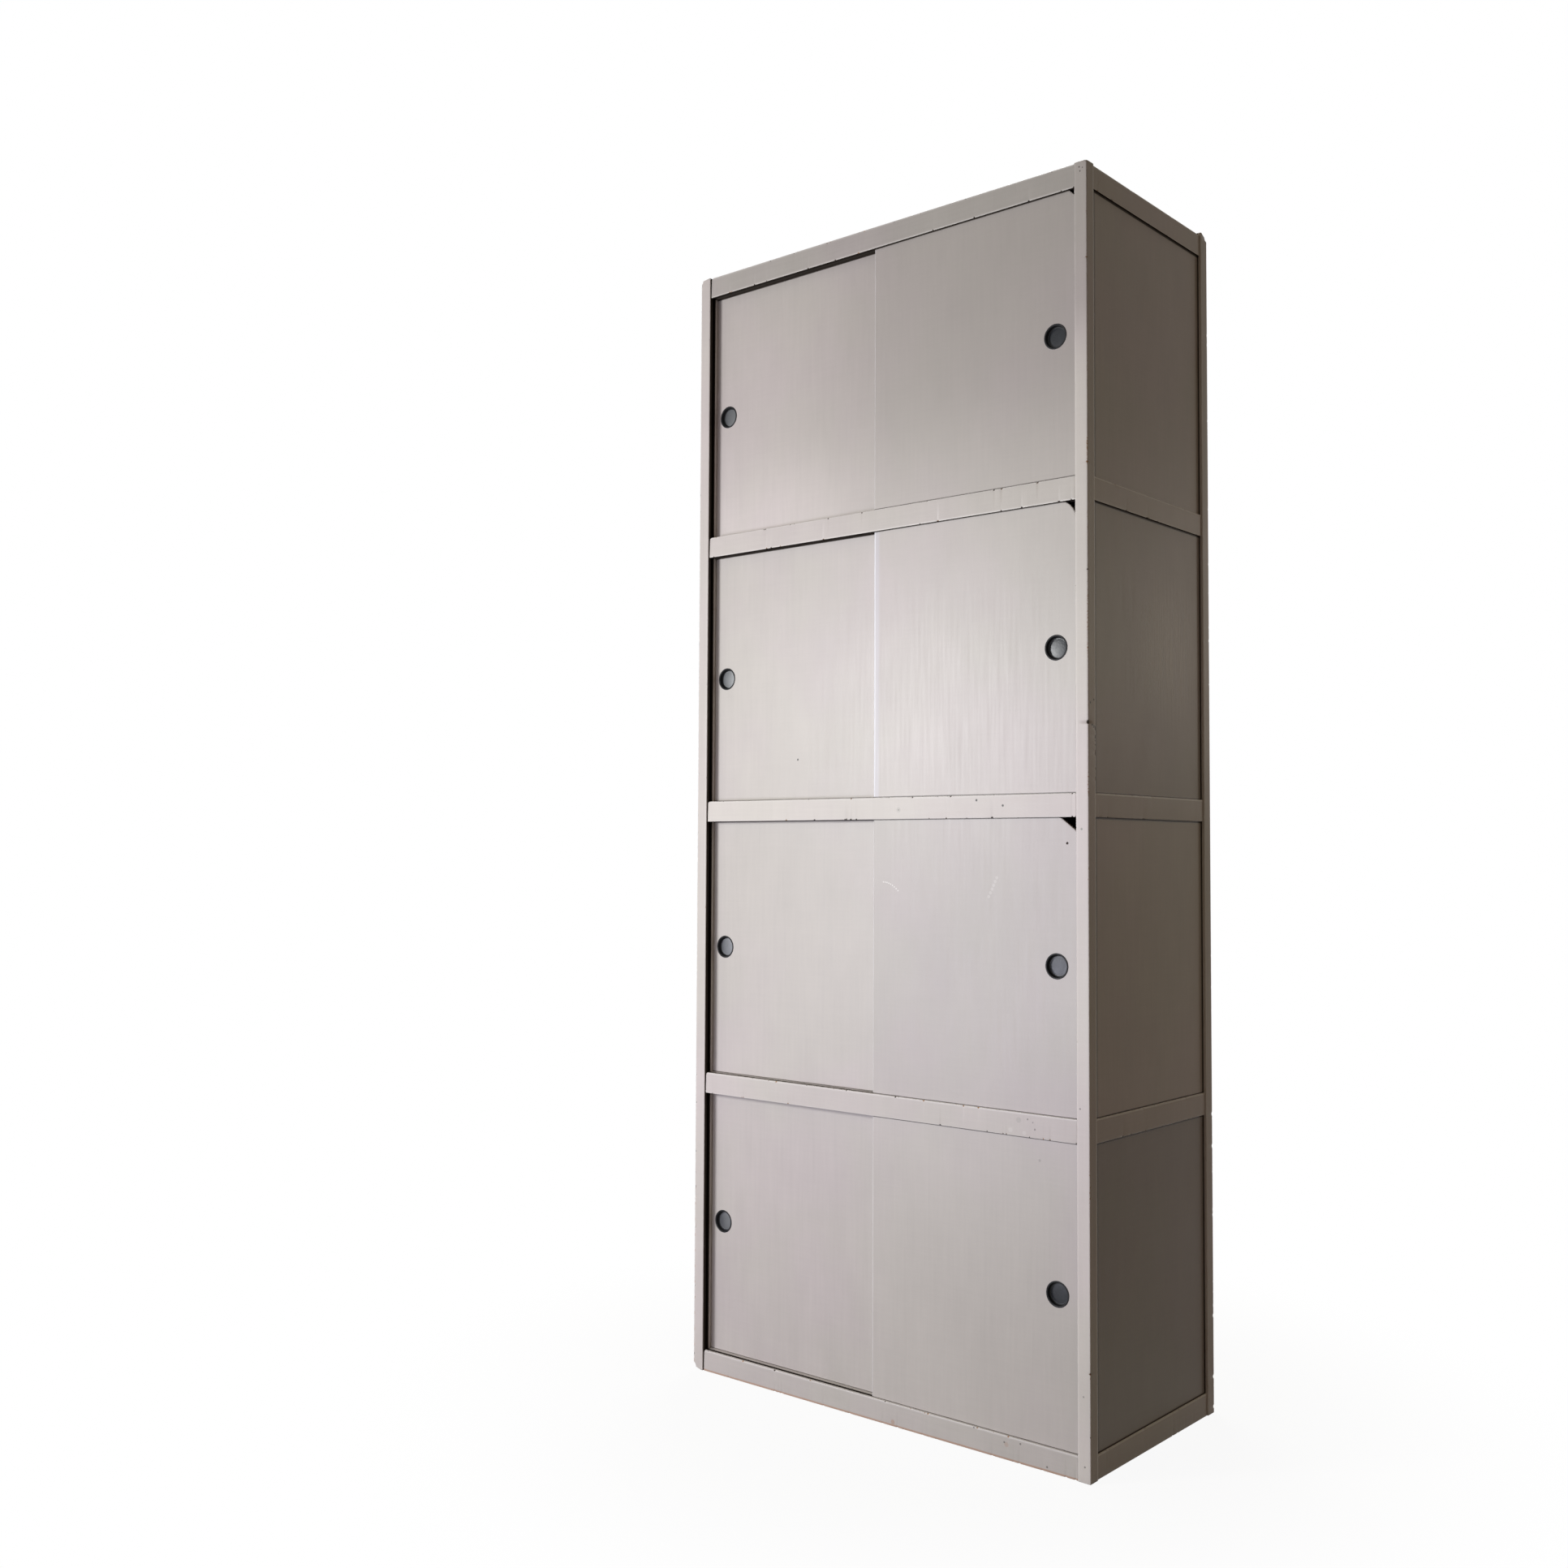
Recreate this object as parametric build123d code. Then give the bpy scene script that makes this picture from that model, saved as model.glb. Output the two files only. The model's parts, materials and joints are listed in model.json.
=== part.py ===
from build123d import *
import os

# Tall free-standing cabinet of painted timber: four corner posts joined by rails at five levels,
# four tiers, and two sliding doors to a tier that run in grooves cut in the front rails.
# Millimetres. +Z is up, the doors face -Y, and the origin is the middle of the foot print.

# Overall plan
WIDTH = 812.0
DEPTH = 410.0

# Tiers and rail levels, from the floor up
TIERS = ("bottom", "lower", "upper", "top")
LEVELS = ("bottom", "lower", "middle", "upper", "top")
TIER_OPENINGS = {"bottom": 460.0, "lower": 455.0, "upper": 449.0, "top": 448.5}
RAIL_HEIGHT = 36.5
FRONT_POST_RISE = 1.0
REAR_POST_RISE = 5.0

# Timber frame
POST = 22.0
RAIL_SETBACK = 2.5
EASED_EDGE = 0.8

# Boards that lie in rebates of the rails
BOARD_THICKNESS = 12.0
BOARD_SEAT = 7.0
BOARD_CLEARANCE = 0.3

# Thin panels held in grooves at the sides and the back
PANEL_THICKNESS = 4.0
PANEL_TONGUE = 5.0
PANEL_LIP = 2.5
PANEL_SHADOW_GAP = 1.3
PANEL_BACK_GAP = 0.2
PANEL_END_GAP = 0.3
PANEL_TOP_GAP = 0.5

# Doors and the grooves that they run in
DOOR_THICKNESS = 6.0
DOOR_CLEARANCE = 0.3
FRONT_TRACK_INSET = 5.0
TRACK_LIP = 5.4
LOWER_GROOVE = 4.0
UPPER_GROOVE = 10.0
UPPER_TONGUE = 5.0
POST_DOOR_GROOVE = 6.0
DOOR_SIDE_GAP = 0.4
SEAM_X = -6.0
DOOR_OVERLAP = 20.0
REAR_DOOR_TUCK = 8.7
DOOR_EDGE = 0.4

# Worn corners of three right-hand doors
SAWN_CORNER_WIDTH = 37.1
SAWN_CORNER_HEIGHT = 28.0
ROUNDED_CORNER = 40.0
CHIPPED_CORNER = 17.0

# Cup pulls
PULL_DIAMETER = 40.0
PULL_CUP_DIAMETER = 37.0
PULL_CUP_DEPTH = 7.5
PULL_WALL = 1.2
PULL_FLANGE = 0.8
PULL_FLANGE_ROUND = 0.5
PULL_FLOOR_ROUND = 2.0
PULL_HOLE_CLEARANCE = 0.1
PULL_INSET = 37.5

# Dowels in the rail ends
DOWEL_DIAMETER = 8.0
DOWEL_IN_POST = 12.0
DOWEL_IN_RAIL = 18.0
FRONT_DOWEL_RISE = 21.0
SIDE_DOWEL_RISE = 10.5
SIDE_DOWEL_INSET = 9.0

# Planes worked out from the sizes above
INNER_X = WIDTH / 2 - POST
INNER_Y = DEPTH / 2 - POST
RAIL_FACE_X = WIDTH / 2 - RAIL_SETBACK
RAIL_FACE_Y = DEPTH / 2 - RAIL_SETBACK
GROOVE_OUTER = RAIL_SETBACK + PANEL_LIP
PANEL_OUTER = GROOVE_OUTER + PANEL_SHADOW_GAP
PANEL_INNER = PANEL_OUTER + PANEL_THICKNESS
GROOVE_INNER = PANEL_INNER + PANEL_BACK_GAP
DOOR_FACE_Y = {"right": FRONT_TRACK_INSET - RAIL_FACE_Y, "left": DOOR_CLEARANCE - INNER_Y}
REAR_GROOVE_BACK_Y = DOOR_FACE_Y["left"] + DOOR_THICKNESS + DOOR_CLEARANCE
FRONT_SEAT_Y = REAR_GROOVE_BACK_Y + TRACK_LIP
FRONT_RAIL_BACK_Y = FRONT_SEAT_Y + BOARD_SEAT
REAR_DOOR_EDGE_X = INNER_X + REAR_DOOR_TUCK
FRONT_DOWEL_Y = DEPTH / 2 - POST / 2
SIDE_DOWEL_X = WIDTH / 2 - SIDE_DOWEL_INSET

SIDES = {"left": -1, "right": 1}
ENDS = {"front": -1, "rear": 1}


def rail_levels():
    """Height of each rail's underside, from the floor up."""
    undersides = {LEVELS[0]: 0.0}
    for tier, below, above in zip(TIERS, LEVELS, LEVELS[1:]):
        undersides[above] = undersides[below] + RAIL_HEIGHT + TIER_OPENINGS[tier]
    return undersides


RAIL_Z = rail_levels()
RAILS_TOP = RAIL_Z["top"] + RAIL_HEIGHT
POST_HEIGHT = {"front": RAILS_TOP + FRONT_POST_RISE, "rear": RAILS_TOP + REAR_POST_RISE}


def tier_span(tier):
    """Top of the rail below a tier, and underside of the rail above it."""
    index = TIERS.index(tier)
    return RAIL_Z[LEVELS[index]] + RAIL_HEIGHT, RAIL_Z[LEVELS[index + 1]]


def block(x, y, z):
    """Box between two x, two y and two z values, in either order."""
    sizes = [abs(b - a) for a, b in (x, y, z)]
    centre = [(a + b) / 2 for a, b in (x, y, z)]
    return Pos(*centre) * Box(*sizes)


def rod_x(x, y, z):
    """Dowel-sized rod along X between two x values."""
    rod = Rot(0, 90, 0) * Cylinder(DOWEL_DIAMETER / 2, abs(x[1] - x[0]))
    return Pos((x[0] + x[1]) / 2, y, z) * rod


def rod_y(x, y, z):
    """Dowel-sized rod along Y between two y values."""
    rod = Rot(90, 0, 0) * Cylinder(DOWEL_DIAMETER / 2, abs(y[1] - y[0]))
    return Pos(x, (y[0] + y[1]) / 2, z) * rod


def cross_dowels():
    """Dowels from the posts into the front and rear rails, as (level, side, end, rod)."""
    for level in LEVELS:
        z = RAIL_Z[level] + FRONT_DOWEL_RISE
        for side, sx in SIDES.items():
            for end, sy in ENDS.items():
                span = (sx * (INNER_X + DOWEL_IN_POST), sx * (INNER_X - DOWEL_IN_RAIL))
                yield level, side, end, rod_x(span, sy * FRONT_DOWEL_Y, z)


def side_dowels():
    """Dowels from the posts into the side rails, as (level, side, end, rod)."""
    for level in LEVELS:
        z = RAIL_Z[level] + SIDE_DOWEL_RISE
        for side, sx in SIDES.items():
            for end, sy in ENDS.items():
                span = (sy * (INNER_Y + DOWEL_IN_POST), sy * (INNER_Y - DOWEL_IN_RAIL))
                yield level, side, end, rod_y(sx * SIDE_DOWEL_X, span, z)


def front_track_in_post(side, tier):
    """Groove in a front post's inner face that takes the edge of a door in the front track."""
    sx = SIDES[side]
    low, high = tier_span(tier)
    face_y = DOOR_FACE_Y["right"]
    x = (sx * INNER_X, sx * (INNER_X + POST_DOOR_GROOVE))
    y = (face_y - DOOR_CLEARANCE, face_y + DOOR_THICKNESS + DOOR_CLEARANCE)
    return block(x, y, (low - LOWER_GROOVE, high + UPPER_GROOVE))


def post(side, end):
    """Corner post with its panel grooves, door grooves and dowel holes."""
    sx, sy = SIDES[side], ENDS[end]
    body = block((sx * INNER_X, sx * WIDTH / 2), (sy * INNER_Y, sy * DEPTH / 2), (0, POST_HEIGHT[end]))
    body = chamfer(body.edges().filter_by(Axis.Z) + body.faces().sort_by(Axis.Z)[-1].edges(), EASED_EDGE)
    groove_x = (sx * (WIDTH / 2 - GROOVE_OUTER), sx * (WIDTH / 2 - GROOVE_INNER))
    groove_y = (sy * (DEPTH / 2 - GROOVE_OUTER), sy * (DEPTH / 2 - GROOVE_INNER))
    for tier in TIERS:
        low, high = tier_span(tier)
        z = (low - PANEL_TONGUE, high + PANEL_TONGUE)
        body -= block(groove_x, (sy * INNER_Y, sy * (INNER_Y + PANEL_TONGUE)), z)
        if end == "rear":
            body -= block((sx * INNER_X, sx * (INNER_X + PANEL_TONGUE)), groove_y, z)
        else:
            body -= front_track_in_post(side, tier)
    for dowels in (cross_dowels(), side_dowels()):
        for _, dowel_side, dowel_end, rod in dowels:
            if (dowel_side, dowel_end) == (side, end):
                body -= rod
    return body


def ease_long_edges(axis, outer_face):
    """Take the arris off the two long edges of a rail's outer face."""
    return chamfer(outer_face.edges().filter_by(axis), EASED_EDGE)


def front_rail(level):
    """Front rail with the door grooves above and below, and the board's rebate behind."""
    low, high = RAIL_Z[level], RAIL_Z[level] + RAIL_HEIGHT
    body = block((-INNER_X, INNER_X), (-RAIL_FACE_Y, FRONT_RAIL_BACK_Y), (low, high))
    body = ease_long_edges(Axis.X, body.faces().sort_by(Axis.Y)[0])
    for face_y in DOOR_FACE_Y.values():
        groove_y = (face_y - DOOR_CLEARANCE, face_y + DOOR_THICKNESS + DOOR_CLEARANCE)
        if level != "top":
            body -= block((-INNER_X, INNER_X), groove_y, (high - LOWER_GROOVE, high))
        if level != "bottom":
            body -= block((-INNER_X, INNER_X), groove_y, (low, low + UPPER_GROOVE))
    body -= block((-INNER_X, INNER_X), (FRONT_SEAT_Y, FRONT_RAIL_BACK_Y), (high - BOARD_THICKNESS, high))
    for dowel_level, _, end, rod in cross_dowels():
        if (dowel_level, end) == (level, "front"):
            body -= rod
    return body


def rear_rail(level):
    """Rear rail with panel grooves above and below, and the board's rebate inside."""
    low, high = RAIL_Z[level], RAIL_Z[level] + RAIL_HEIGHT
    body = block((-INNER_X, INNER_X), (INNER_Y, RAIL_FACE_Y), (low, high))
    body = ease_long_edges(Axis.X, body.faces().sort_by(Axis.Y)[-1])
    groove_y = (DEPTH / 2 - GROOVE_OUTER, DEPTH / 2 - GROOVE_INNER)
    if level != "top":
        body -= block((-INNER_X, INNER_X), groove_y, (high - PANEL_TONGUE, high))
    if level != "bottom":
        body -= block((-INNER_X, INNER_X), groove_y, (low, low + PANEL_TONGUE))
    body -= block((-INNER_X, INNER_X), (INNER_Y, INNER_Y + BOARD_SEAT), (high - BOARD_THICKNESS, high))
    for dowel_level, _, end, rod in cross_dowels():
        if (dowel_level, end) == (level, "rear"):
            body -= rod
    return body


def side_rail(side, level):
    """Side rail with panel grooves, the board's rebate, and pockets for the rear door's edge."""
    sx = SIDES[side]
    low, high = RAIL_Z[level], RAIL_Z[level] + RAIL_HEIGHT
    body = block((sx * INNER_X, sx * RAIL_FACE_X), (-INNER_Y, INNER_Y), (low, high))
    body = ease_long_edges(Axis.Y, body.faces().sort_by(Axis.X)[-1 if sx > 0 else 0])
    groove_x = (sx * (WIDTH / 2 - GROOVE_OUTER), sx * (WIDTH / 2 - GROOVE_INNER))
    pocket_x = (sx * INNER_X, sx * (REAR_DOOR_EDGE_X + DOOR_CLEARANCE))
    pocket_y = (-INNER_Y, REAR_GROOVE_BACK_Y)
    if level != "top":
        body -= block(groove_x, (-INNER_Y, INNER_Y), (high - PANEL_TONGUE, high))
        body -= block(pocket_x, pocket_y, (high - LOWER_GROOVE, high))
    if level != "bottom":
        body -= block(groove_x, (-INNER_Y, INNER_Y), (low, low + PANEL_TONGUE))
        body -= block(pocket_x, pocket_y, (low, low + UPPER_GROOVE))
    seat_x = (sx * INNER_X, sx * (INNER_X + BOARD_SEAT))
    body -= block(seat_x, (-INNER_Y, INNER_Y), (high - BOARD_THICKNESS, high))
    for dowel_level, dowel_side, _, rod in side_dowels():
        if (dowel_level, dowel_side) == (level, side):
            body -= rod
    return body


def board(level):
    """Horizontal board, flush with the tops of its rails, notched round the rear posts."""
    high = RAIL_Z[level] + RAIL_HEIGHT
    z = (high - BOARD_THICKNESS, high)
    reach_x = INNER_X + BOARD_SEAT - BOARD_CLEARANCE
    reach_y = INNER_Y + BOARD_SEAT - BOARD_CLEARANCE
    body = block((-reach_x, reach_x), (FRONT_SEAT_Y + BOARD_CLEARANCE, reach_y), z)
    for sx in SIDES.values():
        notch_x = (sx * (INNER_X - BOARD_CLEARANCE), sx * reach_x)
        body -= block(notch_x, (INNER_Y - BOARD_CLEARANCE, reach_y), z)
    return body


def panel_height(tier):
    """Foot and head of a panel that stands in the groove of the rail below it."""
    low, high = tier_span(tier)
    return low - PANEL_TONGUE, high + PANEL_TONGUE - PANEL_TOP_GAP


def side_panel(side, tier):
    sx = SIDES[side]
    reach_y = INNER_Y + PANEL_TONGUE - PANEL_END_GAP
    x = (sx * (WIDTH / 2 - PANEL_OUTER), sx * (WIDTH / 2 - PANEL_INNER))
    return block(x, (-reach_y, reach_y), panel_height(tier))


def back_panel(tier):
    reach_x = INNER_X + PANEL_TONGUE - PANEL_END_GAP
    y = (DEPTH / 2 - PANEL_OUTER, DEPTH / 2 - PANEL_INNER)
    return block((-reach_x, reach_x), y, panel_height(tier))


def door_span(side):
    """Left and right edges of a closed door."""
    if side == "right":
        return SEAM_X, INNER_X - DOOR_SIDE_GAP
    return -REAR_DOOR_EDGE_X, SEAM_X + DOOR_OVERLAP


def pull_centre(side, tier):
    """Centre of a cup pull, on the door's face at half the height of the tier."""
    left, right = door_span(side)
    x = right - PULL_INSET if side == "right" else left + PULL_INSET
    return x, DOOR_FACE_Y[side], sum(tier_span(tier)) / 2


def top_right_corner_cut(tier, right, head):
    """The piece missing from a right-hand door's top outer corner, or None on a whole door."""
    if tier == "lower":
        across, down = SAWN_CORNER_WIDTH, SAWN_CORNER_HEIGHT
        outline = Polyline((right, head), (right - across, head), (right, head - down), close=True)
    elif tier == "upper":
        radius = ROUNDED_CORNER
        arc = RadiusArc((right - radius, head), (right, head - radius), radius)
        outline = Polyline((right, head - radius), (right, head), (right - radius, head)) + arc
    elif tier == "top":
        chip = CHIPPED_CORNER
        outline = Polyline((right, head), (right - chip, head), (right, head - chip), close=True)
    else:
        return None
    thick = 2 * DOOR_THICKNESS
    face = make_face(Plane.XZ.offset(-DOOR_FACE_Y["right"] + DOOR_THICKNESS / 2) * outline)
    return extrude(face, -thick)


def door(side, tier):
    """Sliding door with a hole for its cup pull."""
    low, high = tier_span(tier)
    left, right = door_span(side)
    face_y = DOOR_FACE_Y[side]
    foot, head = low - LOWER_GROOVE + DOOR_CLEARANCE, high + UPPER_TONGUE
    body = block((left, right), (face_y, face_y + DOOR_THICKNESS), (foot, head))
    body = chamfer(body.faces().sort_by(Axis.Y)[0].edges(), DOOR_EDGE)
    corner = top_right_corner_cut(tier, right, head) if side == "right" else None
    if corner is not None:
        body -= corner
    x, y, z = pull_centre(side, tier)
    hole_radius = PULL_CUP_DIAMETER / 2 + PULL_HOLE_CLEARANCE
    hole = Pos(x, y + DOOR_THICKNESS / 2, z) * Rot(90, 0, 0) * Cylinder(hole_radius, 2 * DOOR_THICKNESS)
    return body - hole


def cup_pull(side, tier):
    """Round finger cup with a thin flange that lies on the door's face."""
    flange = Pos(0, 0, PULL_FLANGE / 2) * Cylinder(PULL_DIAMETER / 2, PULL_FLANGE)
    flange = fillet(flange.faces().sort_by(Axis.Z)[-1].edges(), PULL_FLANGE_ROUND)
    cup = Pos(0, 0, -PULL_CUP_DEPTH / 2) * Cylinder(PULL_CUP_DIAMETER / 2, PULL_CUP_DEPTH)
    recess_depth = PULL_CUP_DEPTH - PULL_WALL + PULL_FLANGE
    recess = Cylinder(PULL_CUP_DIAMETER / 2 - PULL_WALL, recess_depth)
    recess = fillet(recess.faces().sort_by(Axis.Z)[0].edges(), PULL_FLOOR_ROUND)
    recess = Pos(0, 0, PULL_FLANGE - recess_depth / 2) * recess
    return Pos(*pull_centre(side, tier)) * Rot(90, 0, 0) * (flange + cup - recess)


def rail_dowels():
    """All forty dowels, each its own solid."""
    rods = [entry[-1] for entry in cross_dowels()]
    rods += [entry[-1] for entry in side_dowels()]
    return Compound(children=[rod.solid() for rod in rods])


def all_pieces():
    """Every sub-part by name."""
    pieces = {}
    for end in ENDS:
        for side in SIDES:
            pieces[f"post_{end}_{side}"] = post(side, end)
    for level in LEVELS:
        pieces[f"front_rail_{level}"] = front_rail(level)
        pieces[f"rear_rail_{level}"] = rear_rail(level)
        pieces[f"board_{level}"] = board(level)
        for side in SIDES:
            pieces[f"side_rail_{side}_{level}"] = side_rail(side, level)
    for tier in TIERS:
        pieces[f"back_panel_{tier}"] = back_panel(tier)
        for side in SIDES:
            pieces[f"side_panel_{side}_{tier}"] = side_panel(side, tier)
            pieces[f"door_{tier}_{side}"] = door(side, tier)
            pieces[f"pull_{tier}_{side}"] = cup_pull(side, tier)
    pieces["rail_dowels"] = rail_dowels()
    return pieces


os.makedirs("parts", exist_ok=True)
for name, piece in all_pieces().items():
    export_step(piece, f"parts/{name}.step")
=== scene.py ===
import bpy
import bmesh
import json
import math
import random
from collections import namedtuple
from mathutils import Matrix, Vector


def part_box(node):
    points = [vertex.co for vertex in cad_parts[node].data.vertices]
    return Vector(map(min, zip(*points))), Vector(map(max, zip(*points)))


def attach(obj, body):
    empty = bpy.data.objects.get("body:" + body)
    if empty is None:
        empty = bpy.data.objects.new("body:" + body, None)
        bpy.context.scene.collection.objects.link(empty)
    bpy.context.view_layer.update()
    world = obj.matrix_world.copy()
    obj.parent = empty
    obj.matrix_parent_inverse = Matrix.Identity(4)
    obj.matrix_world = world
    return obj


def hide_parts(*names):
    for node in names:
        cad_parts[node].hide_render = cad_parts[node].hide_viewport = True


# The looks of a tall painted cabinet with sliding doors. Metres, +Z up, the doors face -Y.
# Posts, rails, doors and finger cups are modelled again with worn arrises, knocks and turned
# rims. Panels, boards and dowels keep the solids of the frame and get materials.

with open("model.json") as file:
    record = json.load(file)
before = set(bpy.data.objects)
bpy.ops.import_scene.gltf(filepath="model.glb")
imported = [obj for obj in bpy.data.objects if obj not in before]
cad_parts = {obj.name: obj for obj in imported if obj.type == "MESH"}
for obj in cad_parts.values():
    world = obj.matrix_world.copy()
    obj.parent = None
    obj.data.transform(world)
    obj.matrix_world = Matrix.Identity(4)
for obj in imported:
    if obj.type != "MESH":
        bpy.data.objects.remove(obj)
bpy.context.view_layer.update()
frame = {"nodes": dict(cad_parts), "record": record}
NODES = frame["nodes"]
BODIES = frame["record"]["behaviour"]["bodies"]
BODY_OF = {node: body for body, group in BODIES.items() for node in group}

MM = 0.001
SIDES = {"left": -1, "right": 1}
ENDS = {"front": -1, "rear": 1}
LEVELS = ("bottom", "lower", "middle", "upper", "top")
TIERS = ("bottom", "lower", "upper", "top")

# Camera of the photograph, in its 1932 pixel square
PHOTO_SIZE = 1932
FOCAL_PIXELS = 1959.9
SENSOR_MM = 36.0
CAMERA_PLACE = Vector((1.614, -2.320, 0.930))
CAMERA_YAW = math.radians(130.58)
CAMERA_PITCH = math.radians(2.51)
CAMERA_ROLL = math.radians(0.29)

# Grooves and rebates, as in the solids. A pair is where a groove starts and stops.
DOOR_GROOVES = ((4.7 * MM, 11.3 * MM), (19.5 * MM, 26.1 * MM))
GROOVE_RISE = 4.0 * MM
GROOVE_RISE_UNDER = 10.0 * MM
PANEL_GROOVE = (5.0 * MM, 10.5 * MM)
PANEL_GROOVE_DEPTH = 5.0 * MM
BOARD_SEAT = 7.0 * MM
BOARD_THICKNESS = 12.0 * MM
RAIL_GAP_LEFT = 0.8 * MM
RAIL_GAP_RIGHT = 0.3 * MM
RAIL_SETBACK = 2.5 * MM
POST_DOOR_GROOVE = (7.2 * MM, 13.8 * MM)
POST_DOOR_GROOVE_DEPTH = 6.0 * MM
# Painted shade: how far the dark track timber on a front post's inner face reaches behind its door groove
SHADE_BEHIND_TRACK = 1.8 * MM
POCKET_DEPTH = 9.0 * MM
POCKET_LENGTH = 6.6 * MM

# Rounded arrises, and the strip beside them where wear fades out
POST_ARRIS = 1.5 * MM
RAIL_ARRIS = 1.0 * MM
UNDER_ARRIS = 0.5 * MM
POST_END_ARRIS = 1.4 * MM
FRONT_RAIL_END_ARRIS = 1.3 * MM
REAR_RAIL_END_ARRIS = 0.95 * MM
SIDE_RAIL_END_ARRIS = 0.5 * MM
DOOR_ARRIS = 1.2 * MM
FEATHER = 2.5 * MM

# How finely pieces are divided
STATION_STEP = 14.0 * MM
CUT_STEP = 0.005 * MM
ROUNDING_STEPS = 3
DOOR_EDGE_STEP = 60.0 * MM
DOOR_CORNER_STEPS = 12
MERGE_DISTANCE = 0.001 * MM
SHARP_ANGLE = math.radians(40)

# Knocks along an arris: how many, their least and greatest radius, and how bare they are
POST_KNOCKS = {"count": 24, "radii": (1.2 * MM, 2.6 * MM)}
NEAR_POST_KNOCKS = {**POST_KNOCKS, "count": 6}
POST_FOOT_KNOCKS = {"count": 12, "radii": (1.5 * MM, 4.0 * MM)}
POST_INNER_KNOCKS = {"count": 7, "radii": (0.8 * MM, 1.8 * MM), "bare": 0.6}
NEAR_POST_CHIPS = {"count": 12, "radii": (1.8 * MM, 3.6 * MM)}
FRONT_RAIL_KNOCKS = {"count": 12, "radii": (1.0 * MM, 2.6 * MM), "bare": 0.8}
FLOOR_RAIL_KNOCKS = {**FRONT_RAIL_KNOCKS, "count": 26}
REAR_RAIL_KNOCKS = {"count": 7, "radii": (1.0 * MM, 2.4 * MM), "bare": 0.8}
SIDE_RAIL_KNOCKS = {"count": 6, "radii": (1.0 * MM, 2.2 * MM), "bare": 0.7}
POST_FOOT_KNOCK_TOP = 0.5
NEAR_POST_CHIP_SPAN = (1.040, 1.130)

# Corners missing from three right-hand doors
SAWN_CORNER = (37.1 * MM, 28.0 * MM)
ROUNDED_CORNER = 40.0 * MM
CHIPPED_CORNER = 17.0 * MM

# Small hole, pale smear and curved scratch in the lower right door, as X and Z
PIN_HOLE = (0.3649, 0.9481)
PIN_HOLE_RADIUS = 1.9 * MM
SMEAR_START = (0.2230, 0.8640)
SMEAR_STEP = (0.0030, 0.0060)
SMEAR_SPOTS = 6
SCRATCH_START = (0.0150, 0.884)
SCRATCH_SPAN = (0.030, -0.014)
SCRATCH_SPOTS = 9

# Rust that has run down the left post's outer arris
RUST_SPOT_FOOT = 0.015
RUST_SPOT_PITCH = 0.028
RUST_SPOTS = 12

# Finger cups
CUP_RIM = 20.0 * MM
CUP_WALL = 18.5 * MM
CUP_BORE = 17.3 * MM
CUP_DEPTH = 7.5 * MM
CUP_FLOOR = 1.2 * MM
CUP_PROUD = 0.8 * MM
CUP_CLEARANCE = 0.1 * MM
CUP_SEGMENTS = 72

# Paint and timber colours, linear
PAINT = (0.503, 0.468, 0.440)
FRAME_PAINT = (0.560, 0.525, 0.492)
# The side panels' paint; on the posts' flanks and the side rails it is a shaded copy of the frame paint,
# painted shade
PANEL_PAINT = (0.470, 0.430, 0.392)
# Dark undercoat bared at chips, also the colour of the painted shade bands where pieces meet
UNDERCOAT_AND_SHADE = (0.045, 0.033, 0.024)
BARE_WOOD = (0.380, 0.225, 0.120)
# Near-black bare timber in the grooves, also the painted shade under the rails and on the front posts'
# inner faces
TRACK_WOOD_AND_SHADE = (0.030, 0.025, 0.021)
PLYWOOD = (0.300, 0.195, 0.110)
BEECH = (0.420, 0.260, 0.140)
# Lit and shaded copies of one cup metal: the left cups' lighter, glossier one is a painted reflection of
# the window
CUP_METAL = (0.016, 0.018, 0.022)
LIT_CUP_METAL = (0.066, 0.070, 0.074)
CUP_LACQUER = (0.012, 0.012, 0.013)

# Colours of wear, dirt, painted highlights, painted sheen and painted shade, linear
# Pale worn paint; also painted highlight along arrises and seams, and painted sheen
PALE_WEAR_AND_HIGHLIGHT = (0.72, 0.69, 0.65)
DIRT = (0.045, 0.040, 0.034)
GREY_FILLER = (0.30, 0.30, 0.27)
RUST = (0.42, 0.24, 0.15)
# Painted highlight along the right-hand doors' free edges, and a lavender painted sheen beside the upper
# one's
EDGE_HIGHLIGHT_COLOUR = (0.80, 0.80, 0.82)
LAVENDER = (0.60, 0.59, 0.65)
SHADE = (0.21, 0.185, 0.170)

# Painted light and shade: how light single parts' paint is made, as a share of the paint's colour, after
# how the lamps fall on them
RAIL_PAINTED_LIGHT = {"bottom": 0.90, "lower": 0.97, "middle": 1.08, "upper": 1.0, "top": 0.74}
PANEL_PAINTED_LIGHT = {"bottom": 0.70, "lower": 1.01, "upper": 0.84, "top": 0.93}
NEAR_POST_PAINTED_LIGHT = 1.12
DOOR_PAINTED_LIGHT = {
    "bottom_left": 0.96,
    "bottom_right": 0.96,
    "lower_left": 1.0,
    "lower_right": 0.93,
    "upper_left": 1.02,
    "upper_right": 1.02,
    "top_left": 1.17,
    "top_right": 1.13,
}

# The top doors grow darker to the right and towards their heads, and the near post towards its head
SIDE_SHADE_STRENGTH = 0.28
SIDE_SHADE_REACH = 0.60
HEAD_SHADE_STRENGTH = 0.26
HEAD_SHADE_REACH = 0.45
POST_SHADE_STRENGTH = 0.42
POST_SHADE_REACH = 0.34

# Shares of the usual gloss of paint, where 0.5 is plain
DOOR_GLOSS = 0.5
FRAME_GLOSS = 0.35
PANEL_GLOSS = 0.1

# Brush strokes: how far their noise is drawn out along and across them
STROKE_LENGTH = 0.35
STROKE_WIDTH = 0.016
CROSS_STROKE_LENGTH = 0.22
CROSS_STROKE_WIDTH = 0.012

# Two faint tints, as shares of the paint's colour
ROSY = (1.010, 0.972, 0.990)
GREENISH = (0.995, 0.995, 0.960)
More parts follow.
